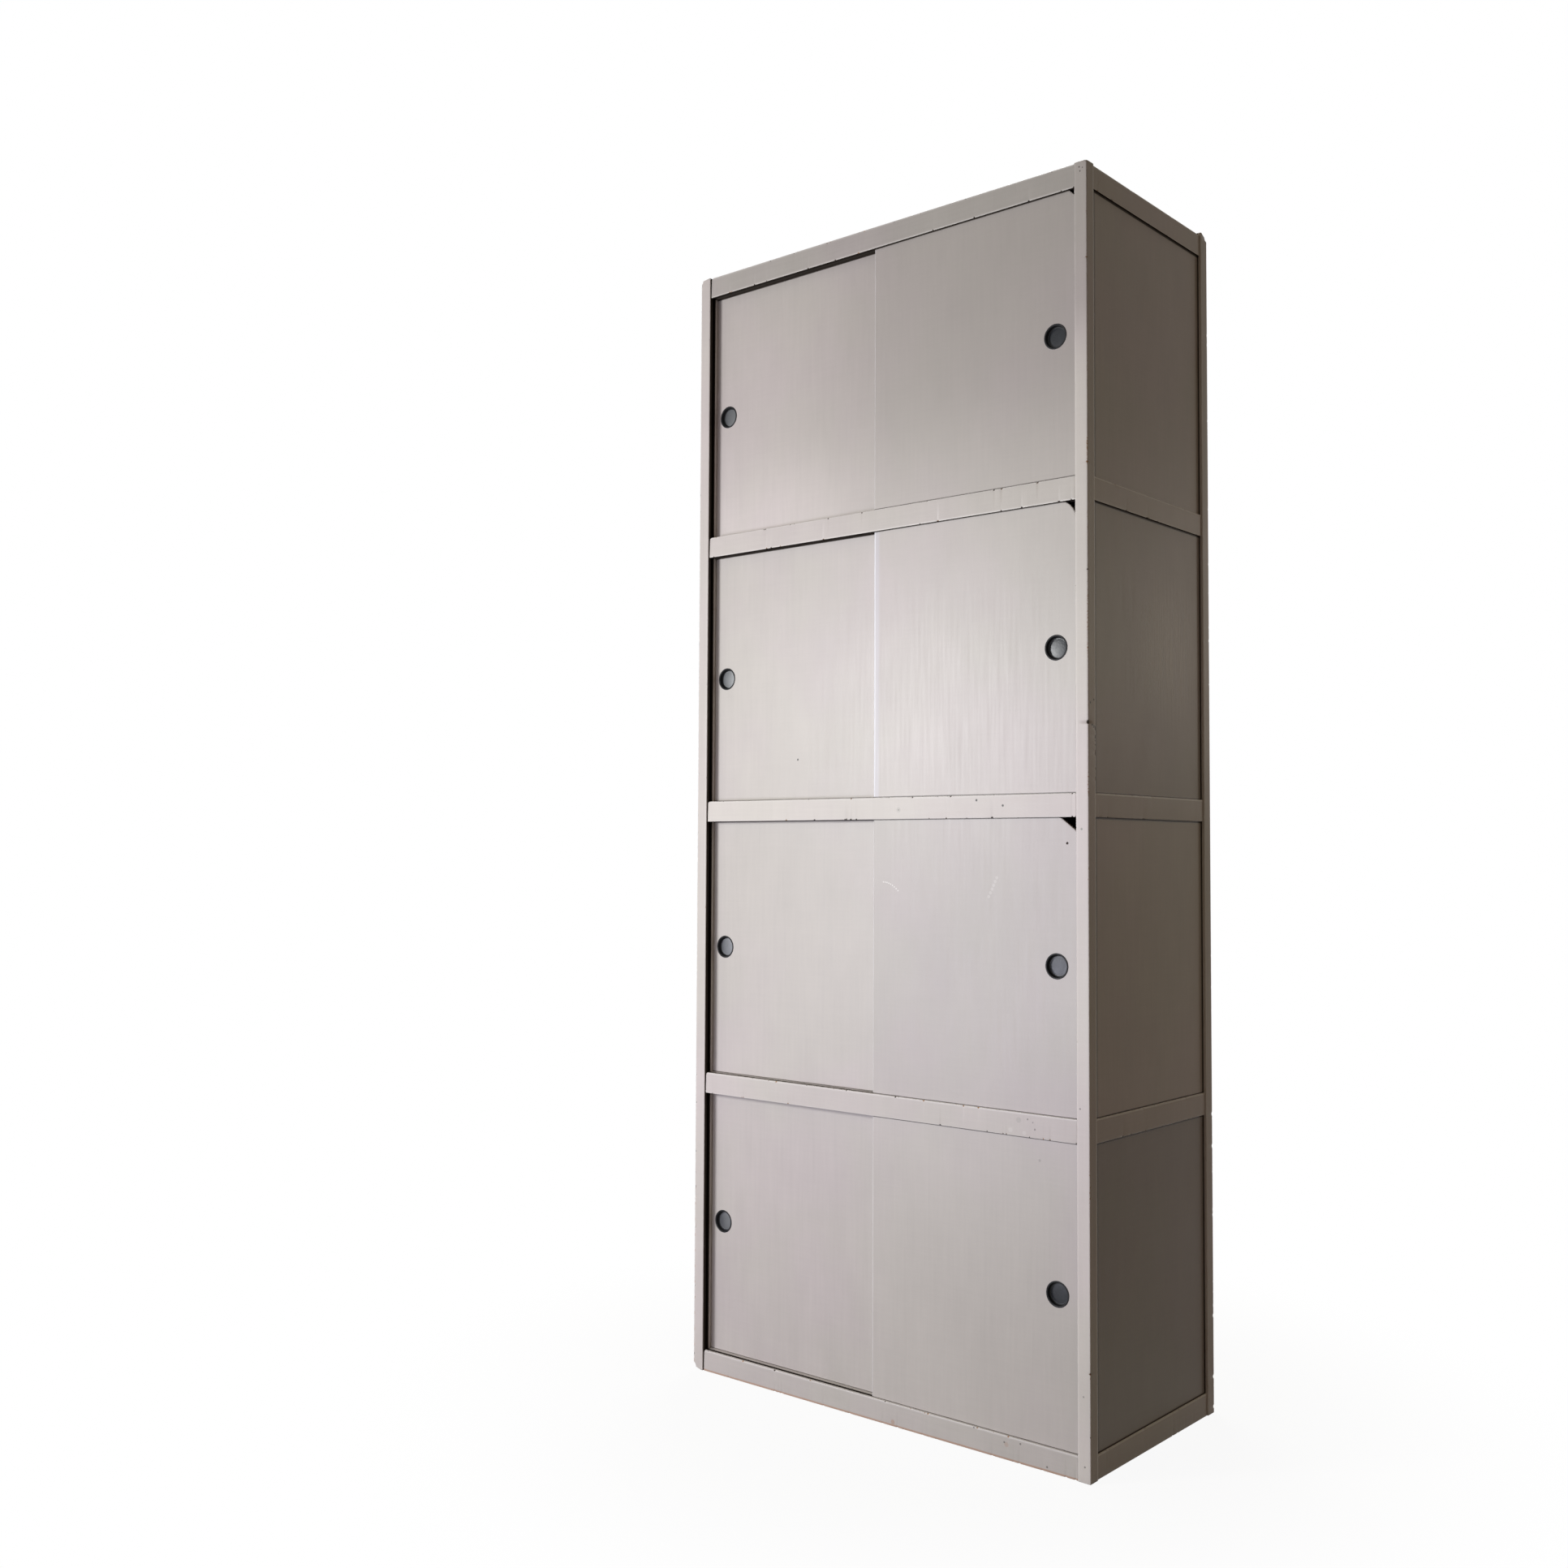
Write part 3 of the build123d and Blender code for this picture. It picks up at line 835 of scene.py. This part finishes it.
def door_outline(low, high, tier, side):
    """Corners of a door seen from the front, anticlockwise, with its missing corner."""
    points = [Vector((low.x, low.z)), Vector((high.x, low.z))]
    corner = Vector((high.x, high.z))
    if side == "right" and tier == "lower":
        points += [corner - Vector((0, SAWN_CORNER[1])), corner - Vector((SAWN_CORNER[0], 0))]
    elif side == "right" and tier == "upper":
        middle = corner - Vector((ROUNDED_CORNER, ROUNDED_CORNER))
        for step in range(DOOR_CORNER_STEPS + 1):
            turn = math.radians(90 * step / DOOR_CORNER_STEPS)
            points.append(middle + Vector((math.cos(turn), math.sin(turn))) * ROUNDED_CORNER)
    elif side == "right" and tier == "top":
        points += [corner - Vector((0, CHIPPED_CORNER)), corner - Vector((CHIPPED_CORNER, 0))]
    else:
        points.append(corner)
    points.append(Vector((low.x, high.z)))
    return points


def inset_outline(points, inset):
    """Outline drawn in by an inset, with mitred corners."""
    made = []
    for index, point in enumerate(points):
        back = (point - points[index - 1]).normalized()
        ahead = (points[(index + 1) % len(points)] - point).normalized()
        normals = Vector((-back.y, back.x)), Vector((-ahead.y, ahead.x))
        mitre = (normals[0] + normals[1]).normalized()
        made.append(point + mitre * inset / mitre.dot(normals[0]))
    return made


def divided(points, step):
    """Outline with its long sides divided."""
    made = []
    for index, point in enumerate(points):
        following = points[(index + 1) % len(points)]
        count = max(1, round((following - point).length / step))
        made += [point.lerp(following, k / count) for k in range(count)]
    return made


def ring_of(mesh, points, y, layer, weight):
    made = []
    for point in points:
        vertex = mesh.verts.new((point.x, y, point.y))
        vertex[layer] = weight
        made.append(vertex)
    return made


def skin(mesh, first, second):
    """Faces between two rings of the same count."""
    for index, vertex in enumerate(first):
        before = index - 1
        mesh.faces.new((first[before], vertex, second[index], second[before]))


def circle_of(middle, radius, count):
    turns = [math.tau * k / count for k in range(count)]
    return [middle + Vector((math.cos(turn), math.sin(turn))) * radius for turn in turns]


def drill(mesh, middle, radius, face, layer):
    """A blind hole in a door's face. The ring at its mouth is returned."""
    circle = circle_of(middle, radius, count=16)
    mouth = ring_of(mesh, circle, face, layer, 0.0)
    bottom = ring_of(mesh, circle, face + 1.5 * radius, layer, 0.0)
    skin(mesh, mouth, bottom)
    mesh.faces.new(bottom)
    return mouth


def fill_between(mesh, *rings):
    """Flat skin inside the first ring, with the other rings as holes."""
    edges = []
    for ring in rings:
        for index, vertex in enumerate(ring):
            found = mesh.edges.get((ring[index - 1], vertex))
            edges.append(found or mesh.edges.new((ring[index - 1], vertex)))
    bmesh.ops.triangle_fill(mesh, edges=edges, use_beauty=True)


def make_door(tier, side, material):
    """A door with rounded arrises, its missing corner and the hole for its finger cup."""
    node = f"door_{tier}_{side}"
    low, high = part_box(node)
    cup_low, cup_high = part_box(f"pull_{tier}_{side}")
    middle = Vector(((cup_low.x + cup_high.x) / 2, (cup_low.z + cup_high.z) / 2))
    outline = divided(door_outline(low, high, tier, side), DOOR_EDGE_STEP)
    mesh = bmesh.new()
    edge = mesh.verts.layers.float.new("edge")
    sections = [
        (FEATHER, low.y, 0.0),
        (DOOR_ARRIS, low.y, 0.5),
        (DOOR_ARRIS * 0.3, low.y + DOOR_ARRIS * 0.3, 0.8),
        (0.0, low.y + DOOR_ARRIS, 0.5),
        (0.0, high.y - DOOR_ARRIS, 0.5),
        (DOOR_ARRIS, high.y, 0.5),
    ]
    rows = [ring_of(mesh, inset_outline(outline, inset), y, edge, weight) for inset, y, weight in sections]
    for first, second in zip(rows, rows[1:]):
        skin(mesh, first, second)
    cut = circle_of(middle, CUP_WALL + CUP_CLEARANCE, CUP_SEGMENTS)
    front_holes = [ring_of(mesh, cut, low.y, edge, 0.0)]
    back_hole = ring_of(mesh, cut, high.y, edge, 0.0)
    skin(mesh, front_holes[0], back_hole)
    if node == "door_lower_right":
        front_holes.append(drill(mesh, Vector(PIN_HOLE), PIN_HOLE_RADIUS, low.y, edge))
    fill_between(mesh, rows[0], *front_holes)
    fill_between(mesh, rows[-1], back_hole)
    new_piece(mesh, f"worn_{node}", node, [material])


def cup_profile(face):
    """Half section of a cup behind a door's face, as (radius, y, surface): rolled rim, straight
    wall, rounded foot, slightly dished floor and the outside. Surface 1 is lacquered."""
    rim = face - CUP_PROUD
    floor = face + CUP_DEPTH - CUP_FLOOR
    back = face + CUP_DEPTH
    return [
        (CUP_RIM - 0.3 * MM, face, 1),
        (CUP_RIM, face - 0.25 * CUP_PROUD, 1),
        (CUP_RIM - 0.1 * MM, face - 0.7 * CUP_PROUD, 1),
        (CUP_RIM - 0.6 * MM, rim, 1),
        (CUP_BORE + 0.9 * MM, rim, 1),
        (CUP_BORE + 0.3 * MM, face - 0.7 * CUP_PROUD, 1),
        (CUP_BORE, face - 0.1 * CUP_PROUD, 1),
        (CUP_BORE, floor - 2.0 * MM, 1),
        (CUP_BORE - 0.3 * MM, floor - 1.0 * MM, 1),
        (CUP_BORE - 1.0 * MM, floor - 0.3 * MM, 1),
        (CUP_BORE - 2.0 * MM, floor, 1),
        (CUP_BORE - 3.2 * MM, floor - 0.1 * MM, 0),
        (0.55 * CUP_BORE, floor - 0.3 * MM, 0),
        (0.25 * CUP_BORE, floor - 0.4 * MM, 0),
        (0.0, floor - 0.4 * MM, 0),
        (0.0, back, 0),
        (CUP_WALL - 1.5 * MM, back, 0),
        (CUP_WALL - 0.4 * MM, back - 0.4 * MM, 0),
        (CUP_WALL, back - 1.5 * MM, 0),
        (CUP_WALL, face, 0),
    ]


def make_cup(tier, side, materials):
    """A finger cup, turned about the middle of its solid."""
    node = f"pull_{tier}_{side}"
    low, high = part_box(node)
    middle = (low + high) / 2
    profile = cup_profile(low.y + CUP_PROUD)
    mesh = bmesh.new()
    rows = []
    for radius, y, _ in profile:
        row = []
        for step in range(CUP_SEGMENTS):
            turn = math.tau * step / CUP_SEGMENTS
            x = middle.x + radius * math.cos(turn)
            z = middle.z + radius * math.sin(turn)
            row.append(mesh.verts.new((x, y, z)))
        rows.append(row)
    for index, (radius, _, surface) in enumerate(profile):
        radius_before, _, surface_before = profile[index - 1]
        if radius == 0.0 and radius_before == 0.0:
            continue
        row, before = rows[index], rows[index - 1]
        for k in range(CUP_SEGMENTS):
            face = mesh.faces.new((before[k - 1], before[k], row[k], row[k - 1]))
            face.material_index = min(surface, surface_before)
    new_piece(mesh, f"turned_{node}", node, materials)


def post_marks():
    """Nail holes and knocks in the paint of the posts, and rust at the foot of the left one."""
    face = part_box("post_front_right")[0].y
    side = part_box("post_front_right")[1].x
    far_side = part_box("post_front_left")[0].x
    heights = [RUST_SPOT_FOOT + RUST_SPOT_PITCH * step for step in range(RUST_SPOTS)]
    return [Mark(far_side, face, height, 6.0 * MM, RUST, 0.35) for height in heights] + [
        Mark(0.3932, face, 1.9869, 2.4 * MM, DIRT),
        Mark(0.3946, face, 1.9801, 2.2 * MM, DIRT),
        Mark(0.3989, face, 1.9846, 2.0 * MM, DIRT, 0.8),
        Mark(0.3939, face, 0.9695, 3.4 * MM, GREY_FILLER, 0.9),
        Mark(0.3900, face, 0.5500, 2.6 * MM, DIRT, 0.6),
        Mark(0.3942, face, 0.1260, 2.6 * MM, DIRT, 0.5),
        Mark(0.3962, face, 0.0240, 2.8 * MM, DIRT, 0.6),
        Mark(side, -0.1988, 1.1611, 3.4 * MM, DIRT),
        Mark(side, -0.1880, 1.1660, 3.0 * MM, DIRT, 0.9),
        Mark(side, -0.1932, 1.1274, 3.6 * MM, DIRT, 0.8),
        Mark(side, -0.1883, 1.1252, 4.0 * MM, DIRT, 0.9),
    ]


def rail_marks():
    """A knot, knocks, filled holes and rust spots in the paint of the front rails."""
    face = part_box("front_rail_middle")[0].y
    return (
        Mark(0.0496, face, 1.0031, 8.0 * MM, GREY_FILLER, 0.25),
        Mark(0.0496, face, 1.0031, 2.4 * MM, DIRT, 0.5),
        Mark(0.2031, face, 1.0165, 3.6 * MM, DIRT),
        Mark(0.2524, face, 1.0073, 3.6 * MM, DIRT),
        Mark(0.2968, face, 0.5240, 2.8 * MM, DIRT, 0.5),
        Mark(0.3060, face, 0.5200, 2.4 * MM, DIRT, 0.4),
        Mark(0.2659, face, 0.5046, 7.0 * MM, PALE_WEAR_AND_HIGHLIGHT, 0.3),
        Mark(0.2908, face, 0.5026, 6.0 * MM, PALE_WEAR_AND_HIGHLIGHT, 0.3),
        Mark(0.2807, face, 0.5212, 8.0 * MM, GREY_FILLER, 0.3),
        Mark(0.3097, face, 0.5097, 3.0 * MM, DIRT, 0.5),
        Mark(0.1980, face, 0.0350, 2.6 * MM, DIRT, 0.7),
        Mark(0.2540, face, 0.0260, 3.0 * MM, DIRT, 0.6),
        Mark(0.2830, face, 0.0300, 3.0 * MM, DIRT, 0.6),
        Mark(0.3300, face, 0.0070, 3.0 * MM, DIRT, 0.7),
        Mark(0.0405, face, 0.0071, 7.0 * MM, RUST, 0.5),
        Mark(0.2579, face, 0.0232, 7.0 * MM, RUST, 0.3),
    )


def door_marks():
    """Single spots on the doors, and a smear and a scratch on the lower right one."""
    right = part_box("door_lower_right")[0].y
    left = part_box("door_lower_left")[0].y
    spots = [
        Mark(-0.1848, left, 1.0954, 3.4 * MM, DIRT),
        Mark(0.3152, right, 0.4629, 4.0 * MM, DIRT, 0.25),
        Mark(PIN_HOLE[0], right, PIN_HOLE[1], 4.2 * MM, DIRT, 0.8),
    ]
    for step in range(SMEAR_SPOTS):
        x = SMEAR_START[0] + SMEAR_STEP[0] * step
        z = SMEAR_START[1] + SMEAR_STEP[1] * step
        spots.append(Mark(x, right, z, 5.0 * MM, PALE_WEAR_AND_HIGHLIGHT, 0.3))
    for step in range(SCRATCH_SPOTS):
        share = step / (SCRATCH_SPOTS - 1)
        x = SCRATCH_START[0] + SCRATCH_SPAN[0] * share
        z = SCRATCH_START[1] + SCRATCH_SPAN[1] * share ** 2
        spots.append(Mark(x, right, z, 2.4 * MM, PALE_WEAR_AND_HIGHLIGHT, 0.9))
    return spots


def assign(material, node):
    slots = NODES[node].data.materials
    slots.clear()
    slots.append(material)


def door_lines(tier, side):
    """Painted shade over the top doors, and a painted highlight along the free edge of the right-hand
    doors.
    """
    lines = []
    if tier == "top":
        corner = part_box("door_top_right")[1]
        lines.append(Line("X", corner.x, SIDE_SHADE_REACH, SHADE, SIDE_SHADE_STRENGTH))
        lines.append(Line("Z", corner.z, HEAD_SHADE_REACH, SHADE, HEAD_SHADE_STRENGTH))
    free_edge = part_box(f"door_{tier}_right")[0].x
    if (tier, side) == ("upper", "right"):
        lines.append(Line("X", free_edge, EDGE_SHEEN_BAND, LAVENDER, strength=0.45))
        lines.append(Line("X", free_edge, BRIGHT_EDGE_HIGHLIGHT, EDGE_HIGHLIGHT_COLOUR, strength=0.9))
    elif side == "right":
        lines.append(Line("X", free_edge, FREE_EDGE_HIGHLIGHT, EDGE_HIGHLIGHT_COLOUR, strength=0.5))
    return lines


def door_paint(tier, side, span):
    """Paint of one door, made lighter or darker as painted light, with painted shade along its head and
    foot.
    """
    foot, head = span
    lines = door_lines(tier, side) + [
        Line("Z", foot, DOOR_FOOT_SHADE_BAND[tier], UNDERCOAT_AND_SHADE, JOINT_SHADE_STRENGTH),
        Line("Z", head, DOOR_HEAD_SHADE_BAND[tier], UNDERCOAT_AND_SHADE, JOINT_SHADE_STRENGTH),
    ]
    colour = scaled(PAINT, DOOR_PAINTED_LIGHT[f"{tier}_{side}"])
    return paint_material(f"paint_{tier}_{side}_door", colour, "Z", DOOR_GLOSS, door_marks(), lines)


def post_paints():
    """Paint of the posts' fronts, of the near post's front with painted light and shade, and of their
    flanks, a shaded copy.
    """
    near_high, rear_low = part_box("post_front_right")[1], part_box("post_rear_right")[0]
    shade = Line("Z", near_high.z, POST_SHADE_REACH, SHADE, POST_SHADE_STRENGTH)
    # Painted highlights along the flanks' seams with the side panels
    seam_highlights = [Line("Y", y, SEAM_HIGHLIGHT, PALE_WEAR_AND_HIGHLIGHT, strength=0.5) for y in (near_high.y, rear_low.y)]
    near_lit_colour = scaled(FRAME_PAINT, NEAR_POST_PAINTED_LIGHT)
    marks = post_marks()
    return (
        paint_material("paint_upright", FRAME_PAINT, "Z", FRAME_GLOSS, marks),
        paint_material("paint_near_upright", near_lit_colour, "Z", FRAME_GLOSS, marks, [shade]),
        paint_material("paint_flank", PANEL_PAINT, "Z", PANEL_GLOSS, marks, seam_highlights),
    )


def dress_sides(track):
    """Posts, side rails, doors and finger cups, first on the left and then on the right."""
    upright, near_upright, flank = post_paints()
    # The side rails take the panel paint, a shaded copy of the frame paint, with painted highlights along
    # their heads
    rail_heads = [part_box(f"side_rail_right_{level}")[1].z for level in LEVELS]
    head_highlights = [Line("Z", head, SEAM_HIGHLIGHT, PALE_WEAR_AND_HIGHLIGHT, strength=0.6) for head in rail_heads]
    deep = paint_material("paint_deep", PANEL_PAINT, "Y", PANEL_GLOSS, lines=head_highlights)
    # The left cups' lighter, glossier metal is a painted reflection of the window; the right cups' is a
    # darker copy
    metals = {
        "left": cup_material("cup_metal_lit", LIT_CUP_METAL, roughness=0.34, specular=1.0),
        "right": cup_material("cup_metal", CUP_METAL, roughness=0.30, specular=0.32),
    }
    lacquer = cup_material("cup_lacquer", CUP_LACQUER, roughness=0.50, specular=0.2)
    for side in SIDES:
        for end in ENDS:
            front = near_upright if (side, end) == ("right", "front") else upright
            make_post(side, end, (front, track, flank))
        for level in LEVELS:
            make_side_rail(side, level, (deep, track))
        for tier, span in zip(TIERS, tier_spans()):
            make_door(tier, side, door_paint(tier, side, span))
            make_cup(tier, side, (metals[side], lacquer))


def dress_levels(track):
    """Front and rear rails, and the boards they carry."""
    rusty_foot = Line("Z", 0.0, RUST_FOOT, RUST, strength=0.75)
    board = timber_material("bare_board", PLYWOOD)
    for level in LEVELS:
        # Each rail's paint is made lighter or darker as painted light
        paint = paint_material(
            f"paint_{level}_rail", scaled(FRAME_PAINT, RAIL_PAINTED_LIGHT[level]), "X", FRAME_GLOSS,
            rail_marks(), [rusty_foot], paleness=0.6,
        )
        make_front_rail(level, (paint, track))
        make_rear_rail(level, (paint, track))
        assign(board, f"board_{level}")


def dress_panels():
    """Back and side panels, made lighter or darker per tier as painted light, with painted shade round the
    side panels and a painted sheen on one of them.
    """
    # Painted shade along the side panels' edges, under the rails and beside the posts
    joint_shade = []
    for tier, (foot, head) in zip(TIERS, tier_spans()):
        joint_shade.append(Line("Z", foot, PANEL_FOOT_SHADE_BAND, UNDERCOAT_AND_SHADE, JOINT_SHADE_STRENGTH))
        joint_shade.append(Line("Z", head, PANEL_HEAD_SHADE_BAND[tier], UNDERCOAT_AND_SHADE, JOINT_SHADE_STRENGTH))
    near_post, rear_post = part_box("post_front_right")[1].y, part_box("post_rear_right")[0].y
    joint_shade.append(Line("Y", near_post, PANEL_NEAR_POST_SHADE_BAND, UNDERCOAT_AND_SHADE, strength=0.75))
    joint_shade.append(Line("Y", rear_post, PANEL_SIDE_SHADE_BAND, UNDERCOAT_AND_SHADE, JOINT_SHADE_STRENGTH))
    panel_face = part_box("side_panel_right_upper")[1].x
    sheen = Mark(panel_face, SHEEN_DEPTH, SHEEN_HEIGHT, SHEEN_RADIUS, PALE_WEAR_AND_HIGHLIGHT, SHEEN_STRENGTH)
    for tier in TIERS:
        # Each tier's panel paint is made lighter or darker as painted light
        colour = scaled(PANEL_PAINT, PANEL_PAINTED_LIGHT[tier])
        sheens = [sheen] if tier == "upper" else []
        paint = paint_material(f"paint_{tier}_panel", colour, "Z", PANEL_GLOSS, (), joint_shade, sheens)
        assign(paint, f"back_panel_{tier}")
        for side in SIDES:
            assign(paint, f"side_panel_{side}_{tier}")


def dress():
    track = track_and_shade_material()
    dress_sides(track)
    dress_levels(track)
    dress_panels()
    assign(timber_material("dowel_wood", BEECH), "rail_dowels")


def make_camera():
    yaw, pitch, roll = CAMERA_YAW, CAMERA_PITCH, CAMERA_ROLL
    forward = Vector((math.cos(yaw) * math.cos(pitch), math.sin(yaw) * math.cos(pitch), math.sin(pitch)))
    level = Vector((math.sin(yaw), -math.cos(yaw), 0.0))
    above = level.cross(forward)
    right = level * math.cos(roll) + above * math.sin(roll)
    up = above * math.cos(roll) - level * math.sin(roll)
    turn = Matrix((right, up, -forward)).transposed().to_4x4()
    data = bpy.data.cameras.new("camera")
    data.sensor_width = SENSOR_MM
    data.lens = FOCAL_PIXELS / PHOTO_SIZE * SENSOR_MM
    data.clip_end = 100.0
    camera = new_object("camera", data)
    camera.matrix_world = Matrix.Translation(CAMERA_PLACE) @ turn
    bpy.context.scene.camera = camera


def area_light(name, place, target, size, power, colour=(1, 1, 1)):
    data = bpy.data.lights.new(name, "AREA")
    data.shape = "RECTANGLE"
    data.size, data.size_y = size
    data.energy = power
    data.color = colour
    light = new_object(name, data)
    light.location = place
    light.rotation_euler = (Vector(target) - Vector(place)).to_track_quat("-Z", "Y").to_euler()


def make_lights():
    """Two windows in front, a glow on the side, and fill from the back and above. Each light has
    its place, its target, its size, its power and its colour."""
    area_light("window", (-1.35, -2.45, 1.40), (0.0, -0.2, 1.1), (0.5, 0.5), 41.0, (0.98, 1.0, 1.0))
    area_light("low_window", (-1.0, -2.8, 0.45), (0.0, -0.2, 0.5), (2.0, 0.7), 42.0, (0.84, 0.85, 1.0))
    area_light("side_glow", (1.65, 2.4, 1.6), (0.4, 0.0, 1.2), (0.5, 0.8), 6.0, (1.0, 0.93, 0.80))
    area_light("back_fill", (-2.2, 2.8, 1.9), (0.0, 0.2, 1.0), (1.8, 1.8), 30.0)
    area_light("ceiling", (-0.6, 0.8, 3.8), (0.0, 0.1, 2.0), (0.8, 0.8), 30.0)


def backdrop_share(tree):
    """1 for rays that see the backdrop: from the camera, off gloss and through glass."""
    path = new_node(tree, "LightPath")
    share = path.outputs["Is Camera Ray"]
    for ray in ("Is Glossy Ray", "Is Transmission Ray"):
        most = new_node(tree, "Math", operation="MAXIMUM")
        tree.links.new(share, most.inputs[0])
        tree.links.new(path.outputs[ray], most.inputs[1])
        share = most.outputs[0]
    return share


def mixed(tree, share, first, second):
    """Two shaders mixed by a share."""
    made = new_node(tree, "MixShader")
    for source, target in zip((share, first, second), made.inputs):
        tree.links.new(source, target)
    return made.outputs[0]


def make_world():
    """A white backdrop that lights the cabinet only with a dim, warm glow."""
    world = bpy.data.worlds.new("room")
    bpy.context.scene.world = world
    world.use_nodes = True
    tree = world.node_tree
    tree.nodes.clear()
    seen = new_node(tree, "Background", Color=(1, 1, 1, 1))
    glow = new_node(tree, "Background", Color=(1.0, 0.72, 0.44, 1), Strength=0.135)
    shown = mixed(tree, backdrop_share(tree), glow.outputs[0], seen.outputs[0])
    out = new_node(tree, "OutputWorld")
    tree.links.new(shown, out.inputs["Surface"])


def make_floor():
    """A floor that looks pale and fades to white, and sends back only a little warm light."""
    half = 30.0
    corners = [(-half, -half, 0), (half, -half, 0), (half, half, 0), (-half, half, 0)]
    mesh = bpy.data.meshes.new("floor")
    mesh.from_pydata(corners, [], [(0, 1, 2, 3)])
    floor = new_object("floor", mesh)
    shader = Shader("floor")
    tree = shader.tree
    shader.surface.inputs["Base Color"].default_value = (0.22, 0.20, 0.18, 1)
    shader.surface.inputs["Roughness"].default_value = 0.9
    shader.surface.inputs["Specular IOR Level"].default_value = 0.0
    pale = shader.node("BsdfDiffuse", Color=(0.9, 0.9, 0.9, 1))
    white = shader.node("Emission", Color=(1, 1, 1, 1))
    distance = shader.node("VectorMath", operation="LENGTH")
    shader.join(shader.place, distance.inputs[0])
    fade = shader.band(distance.outputs["Value"], low=0.4, high=1.1, to_low=0.93, to_high=1.0)
    shown = mixed(tree, fade, pale.outputs[0], white.outputs[0])
    both = mixed(tree, backdrop_share(tree), shader.surface.outputs[0], shown)
    tree.links.new(both, tree.nodes["Material Output"].inputs["Surface"])
    mesh.materials.append(shader.material)


dress()
make_camera()
make_lights()
make_world()
make_floor()
bpy.context.scene.view_settings.view_transform = "Standard"
